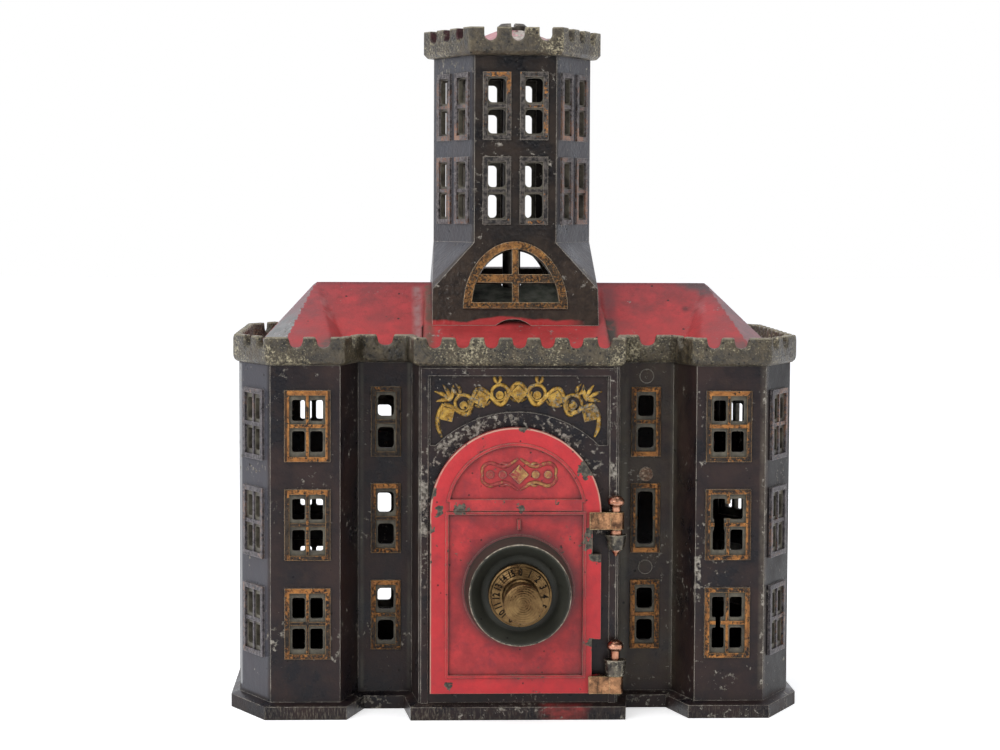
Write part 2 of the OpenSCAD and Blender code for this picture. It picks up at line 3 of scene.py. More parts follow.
import bmesh
import bpy
from mathutils import Matrix, Vector
from mathutils.bvhtree import BVHTree


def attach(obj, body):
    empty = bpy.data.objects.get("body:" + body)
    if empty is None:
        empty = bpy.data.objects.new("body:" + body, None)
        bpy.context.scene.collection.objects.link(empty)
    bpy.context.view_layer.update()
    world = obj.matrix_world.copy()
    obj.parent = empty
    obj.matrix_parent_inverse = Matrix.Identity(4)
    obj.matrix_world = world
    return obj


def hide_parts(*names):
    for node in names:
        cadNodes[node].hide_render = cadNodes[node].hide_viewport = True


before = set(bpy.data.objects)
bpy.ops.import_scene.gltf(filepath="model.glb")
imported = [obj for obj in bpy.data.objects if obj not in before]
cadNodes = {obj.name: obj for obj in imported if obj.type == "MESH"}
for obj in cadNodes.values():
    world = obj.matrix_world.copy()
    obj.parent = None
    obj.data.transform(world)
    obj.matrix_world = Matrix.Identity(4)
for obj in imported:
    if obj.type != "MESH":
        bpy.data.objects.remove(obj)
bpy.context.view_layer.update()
mm = 0.001
print("frame loaded:", len(cadNodes), "CAD nodes")

dialAt = Vector((-0.1, -48, 32.9))  # mm, where the dial's axis meets the door
hingeAt = Vector((24.2, -47.6))
doorArchAt = (-0.85, 52.35)  # x and z of the centre of the door's arch
portalArchAt = (-0.4, 48.3)  # and of the arch of the wall round it
anywhere = (None, None, None)  # a corner that leaves a box open


# colours and shader helpers; every place is in mm

making = {}  # the node tree in hand, and the socket that gives the place on the piece in mm


def linear(hexColour):
    channels = [int(hexColour[i:i + 2], 16) / 255 for i in (1, 3, 5)]
    return [c / 12.92 if c <= 0.04045 else ((c + 0.055) / 1.055) ** 2.4 for c in channels] + [1]


def startTree(tree):
    tree.nodes.clear()
    making["tree"] = tree


def addNode(kind, sockets=None, **settings):
    tree = making["tree"]
    made = tree.nodes.new("ShaderNode" + kind)
    for name, value in settings.items():
        setattr(made, name, value)
    for name, value in (sockets or {}).items():
        if isinstance(value, bpy.types.NodeSocket):
            tree.links.new(value, made.inputs[name])
        else:
            made.inputs[name].default_value = value
    return made


def newMaterial(name):
    material = bpy.data.materials.new(name)
    material.use_nodes = True
    startTree(material.node_tree)
    metres = addNode("TexCoord").outputs["Object"]
    making["place"] = addNode("VectorMath", {0: metres, "Scale": 1000}, operation="SCALE").outputs[0]
    return material


def joined(operation, *masks):
    # masks or amounts taken together, kept between 0 and 1
    whole = masks[0]
    for mask in masks[1:]:
        whole = addNode("Math", {0: whole, 1: mask}, operation=operation, use_clamp=True).outputs[0]
    return whole


def weighted(*parts):
    # the sum of (mask, amount), free to leave 0 to 1
    total = 0.0
    for mask, amount in parts:
        total = addNode("Math", {0: mask, 1: amount, 2: total}, operation="MULTIPLY_ADD").outputs[0]
    return total


def between(mask, low, high):
    # an amount that goes from low to high with a mask
    return weighted((mask, high - low), (1.0, low))


def stain(colour, shade, *masks):
    # a shade laid over a colour where all the masks say so; either is a hex value or a socket
    under, over = (linear(c) if isinstance(c, str) else c for c in (colour, shade))
    return addNode("Mix", {0: joined("MULTIPLY", *masks), 6: under, 7: over}, data_type="RGBA").outputs[2]


def patches(size, low, high, detail=3, rough=0.6, stretch=(1, 1, 1)):
    # soft-edged islands of noise about size mm across, 0 below low and 1 above high
    drawn = addNode("Mapping", {"Vector": making["place"], "Scale": stretch}).outputs[0]
    cloud = addNode("TexNoise", {"Vector": drawn, "Scale": 1 / size, "Detail": detail,
                                 "Roughness": rough}).outputs["Fac"]
    return addNode("MapRange", {"Value": cloud, "From Min": low, "From Max": high}).outputs[0]


def border(value, start, end, size=None, depth=0.0):
    # 0 at start and 1 at end of a value, or of an axis by its letter; noise of a size may shift it by depth
    if isinstance(value, str):
        value = addNode("SeparateXYZ", {"Vector": making["place"]}).outputs[value]
    if size:
        cloud = addNode("TexNoise", {"Vector": making["place"], "Scale": 1 / size, "Detail": 4}).outputs["Fac"]
        value = weighted((value, 1.0), (cloud, depth))
    return addNode("MapRange", {"Value": value, "From Min": start, "From Max": end}).outputs[0]


def within(low, high, soft=0.5):
    # 1 inside a box given by two corners, with a soft border
    axes = addNode("SeparateXYZ", {"Vector": making["place"]}).outputs
    return joined("MULTIPLY", *(border(axes[i], edge - inside * soft, edge + inside * soft)
                                for i in range(3) for edge, inside in ((low[i], 1), (high[i], -1))
                                if edge is not None))


def awayFrom(x, z):
    # distance in the front's plane
    flat = addNode("VectorMath", {0: making["place"], 1: (1, 0, 1)}, operation="MULTIPLY").outputs[0]
    return addNode("VectorMath", {0: flat, 1: (x, 0, z)}, operation="DISTANCE").outputs["Value"]


def awayFromMiddle(x=0.0):
    # how far to the left or right of the middle, or of a pair of columns x beside it
    axis = addNode("SeparateXYZ", {"Vector": making["place"]}).outputs["X"]
    aside = addNode("Math", {0: axis}, operation="ABSOLUTE").outputs[0]
    return addNode("Math", {0: weighted((aside, 1.0), (1.0, -x))}, operation="ABSOLUTE").outputs[0]


def outerEdges(hemmed, look):
    # 1 in a thin line along outer edges, where a rounded normal leaves the face's own;
    # a melted casting has round edges already, and there it is where the iron is thin
    if look.get("melted"):
        thin = addNode("AmbientOcclusion", {"Distance": look["edgeReach"] * mm}, samples=4,
                       inside=True, only_local=True).outputs["AO"]
        return border(thin, 0.97, 0.62)
    rounded = addNode("Bevel", {"Radius": look["edgeReach"] * mm}, samples=6).outputs[0]
    flat = addNode("NewGeometry").outputs["Normal"]
    same = addNode("VectorMath", {0: rounded, 1: flat}, operation="DOT_PRODUCT").outputs["Value"]
    return joined("MULTIPLY", border(same, 0.99, 0.9), border(hemmed, 0.5, 0.75))


def finishMaterial(material, colour, roughness, height, look):
    worn = addNode("Bevel", {"Radius": look.get("rounding", 0.35) * mm}, samples=4)
    bump = addNode("Bump", {"Height": height, "Distance": look["relief"] * mm, "Strength": 1.0,
                            "Normal": worn.outputs[0]})
    shader = addNode("BsdfPrincipled", {
        "Base Color": colour, "Roughness": roughness, "Normal": bump.outputs[0],
        "Metallic": look.get("metallic", 0.0), "Specular IOR Level": look.get("specular", 0.5)})
    addNode("OutputMaterial", {"Surface": shader.outputs[0]})
    return material


castingLook = dict(  # what all the painted castings share
    toneSize=16, streakDepth=0.35, smear="#3a342c", dirt=0.6, dirtColour="#17130f",
    edgeReach=0.28, edgeWear=0.3, edgeLine=0.5, lineColour="#a9a093", runLength=9,
    chipSize=1.6, spread=0.16, chipAt=0.72, chipSoft=0.05, chipDepth=0.35, bareDark="#4b453d",
    bareLight="#96907f", bareGloss=0.5, pitSpacing=3.4, pitSize=0.12, pitShare=0.3,
    pitColour="#15110f", grainSize=0.5, grain=0.5, gloss=(0.3, 0.5), relief=0.12, specular=0.32)


# paint on cast iron: two tones, painted shade in the corners, chips that start at the edges, pits and sand
# grain
def paintOnIron(name, **changes):
    look = dict(castingLook, **changes)
    material = newMaterial(name)
    tone = patches(look["toneSize"], 0.36, 0.64, 4)
    streak = patches(2.2, 0.5, 0.72, 4, 0.7, look.get("streak", (1, 1, 1)))
    colour = stain(stain(look["dark"], look["light"], tone), look["smear"], streak, look["streakDepth"])

    # painted shade: the colour darkens where the surface is hemmed in
    hemmed = addNode("AmbientOcclusion", {"Distance": 3 * mm}, samples=4).outputs["AO"]
    colour = stain(colour, look["dirtColour"], border(hemmed, 0.85, 0.35), look["dirt"])

    edge = joined("MULTIPLY", outerEdges(hemmed, look), patches(look["runLength"], 0.3, 0.55, 6, 0.75))
    wear = [(patches(look["chipSize"], 0.0, 1.0, 5, 0.68), 1.0), (edge, look["edgeWear"]),
            (patches(14, 0.35, 0.65, 2), look["spread"])]
    if "extraWear" in look:
        wear.append((look["extraWear"](), 1.0))
    chip = border(weighted(*wear), look["chipAt"], look["chipAt"] + look["chipSoft"])
    if "overlay" in look:
        colour = look["overlay"](colour)
    bare = stain(look["bareDark"], look["bareLight"], patches(0.9, 0.4, 0.62, 3))
    colour = stain(colour, bare, chip)
    # a pale line along the outer edges: partly rubbed paint, partly a painted highlight
    share = look["lineShare"]() if "lineShare" in look else 1.0
    colour = stain(colour, look["lineColour"], edge, look["edgeLine"], share)

    # pits and specks
    cells = addNode("TexVoronoi", {"Vector": making["place"], "Scale": 1 / look["pitSpacing"]}).outputs
    lot = addNode("SeparateColor", {"Color": cells["Color"]}).outputs[0]
    chosen = addNode("Math", {0: lot, 1: look["pitShare"]}, operation="LESS_THAN").outputs[0]
    pit = joined("MULTIPLY", border(cells["Distance"], look["pitSize"], look["pitSize"] * 0.6), chosen)
    colour = stain(colour, look["pitColour"], pit)

    sand, swell = (addNode("TexNoise", {"Vector": making["place"], "Scale": 1 / size,
                                        "Detail": detail}).outputs["Fac"]
                   for size, detail in ((look["grainSize"], 3), (5.0, 1)))
    height = weighted((swell, 1.0), (sand, look["grain"]), (chip, -look["chipDepth"]), (pit, -0.5))
    gloss = addNode("Mix", {0: chip, 2: between(tone, *look["gloss"]), 3: look["bareGloss"]}).outputs[0]
    return finishMaterial(material, colour, gloss, height, look)


# where the castings are worn, chipped and stained

def wallWear():
    # the plinth's edge is knocked, and the paint on the band round the arch and its strips has flaked
    band = joined("MULTIPLY", border(awayFrom(*portalArchAt), 29.2, 28.6),
                  within((None, None, 46), (None, -44.2, None), 0.3))
    strips = joined("ADD", *(within((x, None, 10), (x + 2.6, -45.1, 88), 0.1) for x in (22.4, -25)))
    scuffs = joined("MAXIMUM", border(awayFrom(-47.5, 86), 5.8, 4.6, 2.5, 5.0),
                    border(awayFrom(33.4, 85.4), 3.6, 2.8, 1.2, 3.0))
    recess = within((43.6, None, 29), (46.2, -43, 41), 0.3)
    corner = within((61.3, None, 8), (62.6, -42, 88), 0.3)
    return weighted((border("Z", 4.4, 3.4), 0.035), (band, 0.115), (strips, 0.06), (scuffs, 0.1),
                    (recess, 0.17), (corner, 0.13))


def wallLines():
    # the edges of the plinth and of the sign's frame are soft, and show less of the pale edge line, which is
    # rubbed paint and a painted highlight
    soft = joined("MAXIMUM", border("Z", 7.5, 6.5), within((-27, None, 66), (27, -44, None), 0.3))
    return between(soft, 1.0, 0.3)


def wallTouches(colour):
    # the bay's plinth is worn, most on the left, and red ran down on it
    foot = within(anywhere, (None, -45.4, 4.6), 0.3)
    scratches = patches(1.0, 0.5, 0.72, 4, 0.7, (2.6, 1, 0.5))
    colour = stain(colour, "#7a7264", foot, scratches, between(border("X", -8, -24), 0.45, 1.0), 0.9)
    drip = joined("MULTIPLY", border(awayFrom(11.5, 2.4), 9.6, 6.6, 3.5, 5.0),
                  within((3, None, -1), (21, -45.6, 4.8)))
    colour = stain(colour, "#9a3d3b", drip, patches(2.4, 0.3, 0.62, 5, 0.7, (0.7, 1, 1.6)), 0.8)
    # a mottled green grey tint beside the hinges, and pale streaks down both recesses, painted highlights along
    # their corners
    colour = stain(colour, "#4f4436", within((25, -40, 6), (42, -29, 90), 2), patches(7, 0.3, 0.7), 0.75)
    streaks = joined("ADD", *(within((x - half, -36, 5), (x + half, -29, 89), 0.4) for x, half in (
        (-39.4, 0.3), (-27.4, 0.3), (40.4, 0.5), (27.8, 0.8))))
    colour = stain(colour, "#6f6d60", streaks, patches(5, 0.3, 0.65, 3, 0.6, (1, 1, 0.4)), 0.45)
    corner = within((60.9, None, 7), (62.8, -42, 89), 0.4)
    colour = stain(colour, "#6a6155", corner, patches(3, 0.25, 0.6, 4, 0.7), 0.5)
    # the left facet has a painted grey sheen and a painted highlight along its outer corner, the right one lies
    # in painted shade
    for low, high, depth, shade in (((None, None, 5), (-62.8, -28.6, None), 0.6, "#58585f"),
                                    ((None, -29.7, 6), (-70.05, -28.2, 88.5), 0.7, "#c4c5c4"),
                                    ((63, None, 5), (None, -28.6, None), 0.8, "#0f0e10")):
        colour = stain(colour, shade, within(low, high, 0.3), depth)
    return colour


def borderSides(colour):
    # on the walls' window borders the outer part of both uprights is darker
    bands = []
    for centre, half in ((52.8, 5.7), (33.3, 3.75)):
        across = awayFromMiddle(centre)
        bands.append(joined("MULTIPLY", border(across, half - 0.75, half - 0.6),
                            border(across, half + 1, half + 0.9)))
    return stain(colour, "#1d1815", joined("ADD", *bands), patches(5, 0.22, 0.42, 4),
                 between(border("Z", 35, 38), 0.35, 0.85))


def giltWear():
    # some windows and bars have lost more of their gilt than others, and some have kept it
    return weighted(*((within(low, high), more) for low, high, more in (
        ((-39, None, 62), (-28, None, 85), 0.16), ((-60, None, 38), (-46, None, 60), 0.07),
        ((46, None, 62), (60, None, 85), 0.08), ((28, None, 62), (39, None, 85), 0.05),
        ((-59, None, 56.1), (-47, None, 58.2), -0.2), ((-53.6, None, 42), (-52, None, 54), -0.14),
        ((46, None, 80.9), (60, None, 83), -0.16), ((47.5, None, 73), (58, None, 74.6), -0.2),
        ((28, None, 63), (39, None, 66.4), -0.2), ((30, None, 38), (37, None, 41.8), -0.2))))


def facetCopper(colour):
    # the right facet's window frames are browner than the left one's
    return stain(colour, "#8d6347", border("X", 40, 41), patches(4, 0.2, 0.6, 4), 0.75)


def towerFoot(colour):
    # the tower is mottled brown below, its side facets have a painted grey sheen at mid depth,
    # and the roof's red runs up onto its foot, highest in the middle
    colour = stain(colour, "#46392f", border("Z", 121, 112), patches(2.2, 0.3, 0.7, 5, 0.7), 0.8)
    # a painted grey sheen on the side facets
    middle = within((None, -19.1, None), (None, 19.1, None), 0.2)
    colour = stain(colour, "#5a5b62", border(awayFromMiddle(), 10.9, 11.5), middle, 0.5)
    height = addNode("SeparateXYZ", {"Vector": making["place"]}).outputs["Z"]
    level = weighted((height, 1.0), (border(awayFrom(-0.6, 93), 13, 7), -1.4))
    return stain(colour, "#ad3838", border(level, 100.9, 100.3, 7, 3.0), border("X", 18, 13))


def towerWear():
    # the foot was painted over later and has few chips
    return weighted((border("Z", 108, 101), -0.1))


def merlonTops(colour):
    # the paint is rubbed off along the tops of both rings of battlements
    low = joined("MULTIPLY", border("Z", 95.45, 95.75), border("Z", 97, 96.5))
    high = joined("MULTIPLY", border("Z", 174.1, 174.35), border("Z", 175, 174.9))
    return stain(colour, "#9f957c", joined("MAXIMUM", low, high), patches(4, 0.3, 0.55, 5, 0.7), 0.6)


def hipFade(colour):
    # the left hip is pinkish towards the ridge and bare grey below
    return stain(colour, "#835b5e", border("Z", 101, 104.5, 4, 5.0), 0.7)


def underTower(colour):
    # the slopes are brighter towards their foot and darker towards the ridge
    colour = stain(colour, "#b83a38", border("Z", 106, 99, 9, 6.0), 0.35)
    colour = stain(colour, "#7a3036", border("Z", 107, 111, 6, 6.0), 0.45)
    # worn strips beside the tower, along the ridge and at the feet of the hips, a darker strip in the valley
    # right of the tower, dark scars, pale hips
    for low, high, shade, depth in (
            ((-23.4, -45, 92), (-21.2, -2, 110), "#4f4a3a", 0.8),
            ((-26.2, -45, 92), (-24.2, -2, 110), "#97807e", 0.7),
            ((44.4, -5, 107.5), (60, 3, 110), "#454142", 0.8),
            ((46.8, -6, 106.5), (60, 3, 110), "#454142", 0.8),
            ((49.6, -8, 105.1), (60, 3, 110), "#454142", 0.95),
            ((23.4, -33, 92), (26.8, -14, 101.6), "#3c3e36", 0.95),
            ((None, -9, 108.1), (None, 9, 110), "#43262a", 0.8),
            ((-50.6, -38, 90), (-45.4, -28, 95.2), "#4a4740", 0.85),
            ((52.6, -38, 90), (58.6, -28, 95), "#4a4740", 0.85),
            ((44.6, -11, 100.6), (46.6, -8.4, 102.6), "#4f2a2c", 0.85),
            ((50, -17, 98), (53.6, -13, 99.2), "#4f2a2c", 0.8),
            ((24.4, -15, 98), (27.2, 0, 107), "#6e3438", 0.6),
            ((48.6, -16, 99), (50.2, -8, 105), "#b06f6f", 0.5),
            ((-50.2, -12, 101.5), (-49.2, -7, 106), "#b57a78", 0.7),
            ((-48.6, -17, 97.5), (-47.6, -12, 101.5), "#b57a78", 0.7)):
        colour = stain(colour, shade, within(low, high, 0.7), patches(3, 0.25, 0.55, 4), depth)
    colour = stain(colour, "#77474a", border(awayFromMiddle(), 46, 55), patches(8, 0.2, 0.7, 4), 0.6)
    # soot inside the tower
    soot = stain("#3f413a", "#8b8d80", patches(3.5, 0.35, 0.65, 5))
    return stain(colour, soot, within((-20.6, -21.6, 95), (20.6, 21.6, None), 0.4))


def dialSmudge(colour):
    # the door's raised border is a brighter red than its panels
    away = awayFrom(*doorArchAt)
    above = joined("MULTIPLY", border(away, 17.3, 17.9), within((-40, None, 52), (40, -47, None), 0.3))
    raised = joined("MAXIMUM", within((-40, None, 0), (-18.1, -47, 53), 0.2), above,
                    within((16.5, None, 0), (40, -47, 53), 0.2), within((-40, None, 0), (40, -47, 11.4), 0.3))
    colour = stain(colour, "#cf343a", raised, patches(4, 0.2, 0.5, 4), 0.6)
    # its rim has a pale line on the arch and down the left side, partly rubbed paint and partly a painted
    # highlight
    rim = joined("MULTIPLY", border(away, 20.9, 21.05), within((None, None, 52.35), (None, -47.7, None), 0.1))
    rim = joined("MAXIMUM", rim, within(anywhere, (-21.95, -47.7, None), 0.1))
    colour = stain(colour, "#c9ae98", rim, patches(9, 0.3, 0.5, 5, 0.7), 0.75)
    # years of fingers leave the paint round the dial dark and dull, and the edges of the panels are darker
    ring = border(awayFrom(dialAt.x, dialAt.z + 0.6), 13.6, 10.8, 6, -5.0)
    colour = stain(colour, "#57383a", ring, within(anywhere, (None, -46.4, None), 0.3), 0.75)
    grime = joined("ADD", within((12.6, None, 12), (17, -47.2, 50), 1.2),
                   within((-17, None, 10), (17, -47.2, 13.5), 1.0),
                   within((-17.6, None, 50), (17, -47.2, 53.4), 0.7))
    return stain(colour, "#5d3436", grime, patches(5, 0.35, 0.65, 4, 0.7), 0.6)


def doorWear():
    # chips on the rim by the hinges, at both ends of the ledge and along the left edge: x, z and reach
    spots = ((16.6, 63.2, 2.2), (19.6, 41.6, 1.9), (17.4, 44.4, 1.5), (17.4, 47.4, 1.2), (-21.6, 57.4, 1.5),
             (0.6, 53.6, 1.2), (1.2, 73.6, 1.0), (-22.9, 48.6, 1.6), (-22.9, 41, 1.2), (18.2, 19.5, 1.4),
             (-17.6, 9, 1.0), (8.8, 54.8, 0.5), (-19.6, 52.8, 1.2), (-14.4, 53.4, 1.6))
    return weighted((joined("MAXIMUM", *(border(awayFrom(x, z), reach + 2.4, reach + 2.1, 1.3, 4.6)
                                         for x, z, reach in spots)), 0.4))


def bossRim():
    # the boss is rubbed bright in a thin broken line round its mouth
    away = awayFrom(dialAt.x, dialAt.z)
    mouth = within(anywhere, (None, -55.7, None), 0.1)
    return weighted((joined("MULTIPLY", border(away, 12.35, 12.45), border(away, 12.8, 12.65), mouth), 0.36))


japan = dict(  # near-black baked lacquer, brown where it is thin
    dark="#17151a", light="#342725", smear="#3f3026", extraWear=wallWear, overlay=wallTouches, edgeWear=0.42,
    edgeReach=0.3, gloss=(0.26, 0.4), bareLight="#a39d92", edgeLine=1.0, lineColour="#bdb5a8",
    toneSize=10, lineShare=wallLines)
brownJapan = paintOnIron("brownJapanOnIron", specular=0.22, **japan)
sideJapan = paintOnIron("sideJapanOnIron", specular=0.07, **japan)  # duller where it was handled
towerJapan = paintOnIron(  # the same on the tower, which was cast rougher
    "towerJapanOnIron", dark="#131316", light="#30261f", smear="#3a2e24", edgeWear=0.42, edgeLine=1.0,
    bareLight="#aaa499", lineColour="#bdb5a8", toneSize=9, overlay=towerFoot, extraWear=towerWear,
    grainSize=0.9, grain=1.1, relief=0.16, runLength=6, gloss=(0.26, 0.42), specular=0.24)
ledgeJapan = paintOnIron(  # the sunk ledges round the panes, dusty but not worn
    "ledgeJapanOnIron", dark="#45413a", light="#716c5e", toneSize=3, edgeWear=0.0, edgeLine=0.25,
    chipAt=0.85, spread=0.05, specular=0.22, dirt=0.35)
oliveBronze = paintOnIron(  # bronze powder paint gone olive, speckled where worn
    "oliveBronzePaint", dark="#211c14", light="#4f4534", smear="#665a42", toneSize=3.2, streakDepth=0.85,
    chipAt=0.63, chipSoft=0.1, chipSize=0.5, bareDark="#4d4534", bareLight="#bdb292", bareGloss=0.32,
    edgeWear=0.2, edgeReach=0.6, edgeLine=0.75, lineColour="#a79e86", pitSpacing=1.3, pitSize=0.28,
    pitShare=0.55, pitColour="#1b1710", gloss=(0.3, 0.48), specular=0.5, grain=1.9, grainSize=0.7,
    relief=0.3, spread=0.2, melted=True, runLength=5, overlay=merlonTops)

hip = dict(  # the roof's end slopes, worn by hands
    toneSize=4, dirt=0.9, gloss=(0.4, 0.55), grain=0.8, melted=True)
rubbedHip = paintOnIron(  # the red has gone and grey primer shows
    "rubbedRoofHip", dark="#6c6d6c", light="#8a8988", smear="#7c5c5c", streakDepth=0.5, bareDark="#5c5853",
    bareLight="#a5a4a2", chipAt=0.66, overlay=hipFade, **hip)
fadedHip = paintOnIron(  # a pinkish film of the red is left
    "fadedRoofHip", dark="#714d50", light="#94696c", smear="#67504f", streakDepth=0.6, bareDark="#5c5451",
    bareLight="#a39a97", chipAt=0.7, **hip)
roofRed = paintOnIron(  # dull red, faded and dirty in patches
    "roofRedPaint", dark="#82282a", light="#b03a3c", smear="#6b2b2b", toneSize=6, streakDepth=0.75,
    dirtColour="#2b2420", dirt=0.9, bareDark="#6b5a55", bareLight="#8f8883", gloss=(0.5, 0.62),
    specular=0.22, chipAt=0.74, overlay=underTower, grain=1.0, melted=True, edgeLine=0.4,
    lineColour="#9a8580")
doorRed = paintOnIron(  # brighter red enamel
    "doorRedPaint", dark="#9a3033", light="#c63f40", smear="#83303a", toneSize=6, streakDepth=0.65,
    dirtColour="#4a2524", dirt=0.95, bareDark="#36332e", bareLight="#6b6558", edgeWear=0.14,
    gloss=(0.28, 0.42), chipAt=0.76, specular=0.3, lineColour="#cfae98", edgeReach=0.24, runLength=14,
    overlay=dialSmudge, extraWear=doorWear, pitShare=0.5, pitColour="#4d1f20", pitSpacing=2.6)
crownRed = paintOnIron(  # pale worn red
    "crownRedPaint", dark="#9c5e61", light="#c38f93", smear="#7a3f41", toneSize=3, bareDark="#8a7f76",
    bareLight="#b9b2a8", gloss=(0.45, 0.6), chipAt=0.66, spread=0.3, melted=True)
gapRed = paintOnIron(  # red darkened to maroon with painted shade, between the crown's merlons on the left
    "gapRedPaint", dark="#2c171a", light="#4d292d", smear="#4a3f35", toneSize=1.5, streakDepth=0.8,
    dirt=0.9, chipAt=0.66, melted=True)

powder = dict(  # bronze powder paint, which wears off in specks
    toneSize=1.8, streakDepth=0.8, dirt=0.9, edgeWear=0.0, chipSoft=0.12, grain=1.0, metallic=0.2,
    relief=0.16, gloss=(0.32, 0.5), edgeReach=0.2, runLength=4)


def giltOnIron(name, **changes):
    return paintOnIron(name, **dict(powder, **changes))


gilt = giltOnIron(  # orange, rubbed through to the lacquer
    "giltPaint", dark="#83542c", light="#b5793e", smear="#5a3f26", streakDepth=0.75, dirt=0.95,
    bareDark="#1b1716", bareLight="#3f352b", chipAt=0.575, chipSoft=0.07, chipSize=0.7, spread=0.22,
    gloss=(0.3, 0.45), metallic=0.3, edgeLine=0.75, lineColour="#cba06a", edgeReach=0.22, runLength=5,
    overlay=borderSides, extraWear=giltWear)
rubbedGilt = giltOnIron(  # where hands and light have taken most of it
    "rubbedGiltPaint", dark="#6e574a", light="#94796a", smear="#5d5654", toneSize=2.2, bareDark="#353234",
    bareLight="#6b6566", chipAt=0.46, chipSize=1.0, spread=0.3, edgeLine=0.9, lineColour="#a39ba1",
    overlay=facetCopper)
copperGilt = giltOnIron(  # the tower's side windows have kept a pinkish coppery film
    "copperGiltPaint", dark="#7d5846", light="#b48a6f", smear="#5d5352", streakDepth=0.7,
    bareDark="#2f2d2e", bareLight="#77706f", chipAt=0.52, chipSize=0.9, spread=0.34, edgeLine=0.7,
    lineColour="#b3a9a6")
archGilt = giltOnIron(  # brown gold, whole but speckled, on the tower's arched frame
    "archGiltPaint", dark="#6d4828", light="#a2733c", smear="#4a3824", toneSize=1.3, streakDepth=0.9,
    bareDark="#221d18", bareLight="#4d4030", chipAt=0.58, chipSoft=0.08, chipSize=0.55, spread=0.2,
    gloss=(0.3, 0.45), grain=1.3, metallic=0.3, relief=0.2, edgeLine=1.0, lineColour="#cdb592",
    edgeReach=0.28, runLength=6)
signGilt = giltOnIron(  # yellow, on raised ornament
    "signGiltPaint", dark="#8a6526", light="#d0a84e", smear="#5d4520", toneSize=1.2, streakDepth=0.75,
    dirt=0.95, bareDark="#2a251f", bareLight="#8c8373", chipAt=0.62, chipSoft=0.08, chipSize=0.6,
    spread=0.24, gloss=(0.24, 0.38), metallic=0.4, relief=0.12, lineColour="#e3d3a4", edgeReach=0.15,
    runLength=3)
towerGilt = giltOnIron(  # on the tower most of it has gone
    "towerGiltPaint", dark="#8a5a30", light="#bd803f", smear="#5d4a38", dirt=0.95, bareDark="#1c1a1a",
    bareLight="#5c5651", chipAt=0.5, chipSoft=0.08, chipSize=0.8, spread=0.4, gloss=(0.34, 0.5),
    grain=1.1, metallic=0.25, edgeLine=0.85, lineColour="#b5aa9b")
doorGilt = giltOnIron(  # thin gold line left on red enamel
    "doorGiltPaint", dark="#8f6440", light="#bb9358", smear="#94403a", toneSize=1.2, streakDepth=0.7,
    bareDark="#8c3436", bareLight="#a14743", chipAt=0.56, chipSize=0.8, spread=0.3, gloss=(0.34, 0.46),
    metallic=0.25, grain=0.6, relief=0.12, edgeReach=0.28, runLength=9)
copperBoss = paintOnIron(  # rough rivet end, coppery brown
    "coppertonedBoss", dark="#4f3c31", light="#8c6a53", smear="#3a2f29", toneSize=1.0, streakDepth=0.8,
    bareDark="#6d5a4b", bareLight="#b39c86", chipAt=0.6, chipSize=0.6, grain=1.6, relief=0.2,
    edgeLine=0.4, metallic=0.2)
bossBlack = paintOnIron(  # black green enamel, bare on its rim
    "bossBlackPaint", dark="#31322c", light="#3c3d36", smear="#43423a", streakDepth=0.3, edgeReach=0.25,
    edgeWear=0.1, runLength=12, bareDark="#857a68", bareLight="#c4baa6", chipAt=0.84, gloss=(0.42, 0.55),
    grain=0.2, specular=0.3, dirt=0.3, extraWear=bossRim, rounding=1.6, edgeLine=0.3)
rubbedBrass = paintOnIron(  # brass wash on iron hinge lugs
    "rubbedBrassWash", dark="#523a2a", light="#b98862", smear="#1f1a14", toneSize=2.4, streakDepth=1.0,
    streak=(3, 1, 0.5), bareDark="#231e19", bareLight="#5f5440", edgeWear=0.0, chipAt=0.74, chipSoft=0.12,
    chipSize=1.0, gloss=(0.16, 0.3), metallic=0.75, dirt=0.9, edgeLine=0.8, lineColour="#d9c594",
    edgeReach=0.3, runLength=3)
polishedIron = paintOnIron(  # dark iron rubbed bright by the door, its pale streaks partly a painted highlight
    "polishedIron", dark="#1d1b1a", light="#5a544a", smear="#8d8470", toneSize=1.6, streakDepth=0.9,
    streak=(2, 1, 0.5), edgeWear=0.1, chipAt=0.6, chipSoft=0.1, chipSize=1.0, bareDark="#6a6353",
    bareLight="#cfc8b4", gloss=(0.2, 0.32), metallic=0.5, dirt=0.8, specular=0.5, edgeLine=0.8,
    lineColour="#d5ccb6", edgeReach=0.3)
bareIron = paintOnIron(  # sand cast, oiled and browned
    "bareCastIron", dark="#2e2a27", light="#3f3a35", smear="#4a3a2c", chipAt=0.8, gloss=(0.5, 0.65),
    metallic=0.3)
stampBlack = paintOnIron(  # old black wax in stamped figures
    "stampedNumeralInk", dark="#0e0a07", light="#17110b", chipAt=0.9, gloss=(0.6, 0.7), specular=0.1,
    bareDark="#3d301b", bareLight="#4d3d22", edgeLine=0.0, edgeWear=0.0)


# solid metal: tarnish in patches, brighter on rubbed edges, painted shade in its hollows, fine turning marks
# round an axis
def metal(name, **look):
    material = newMaterial(name)
    tone = patches(look["toneSize"], 0.35, 0.65, 4)
    hemmed = addNode("AmbientOcclusion", {"Distance": 2 * mm}, samples=4).outputs["AO"]
    colour = stain(look["dark"], look["light"], tone)
    colour = stain(colour, look["bright"], outerEdges(hemmed, look), 0.8)
    # painted shade where the metal is hemmed in
    colour = stain(colour, look["grime"], border(hemmed, 0.8, 0.25), look["dirt"])
    centred = addNode("Mapping", {"Vector": making["place"], "Location": look["axis"]},
                      vector_type="TEXTURE").outputs[0]
    rings = addNode("TexWave", {"Vector": centred, "Scale": 0.55, "Distortion": 1.2, "Detail": 3,
                                "Detail Scale": 3}, wave_type="RINGS",
                    rings_direction=look["around"]).outputs["Fac"]
    scuffs = addNode("TexNoise", {"Vector": making["place"], "Scale": 1.6, "Detail": 4}).outputs["Fac"]
    height = weighted((scuffs, 1.0), (rings, look["turning"]))
    return finishMaterial(material, colour, between(tone, *look["gloss"]), height, look)


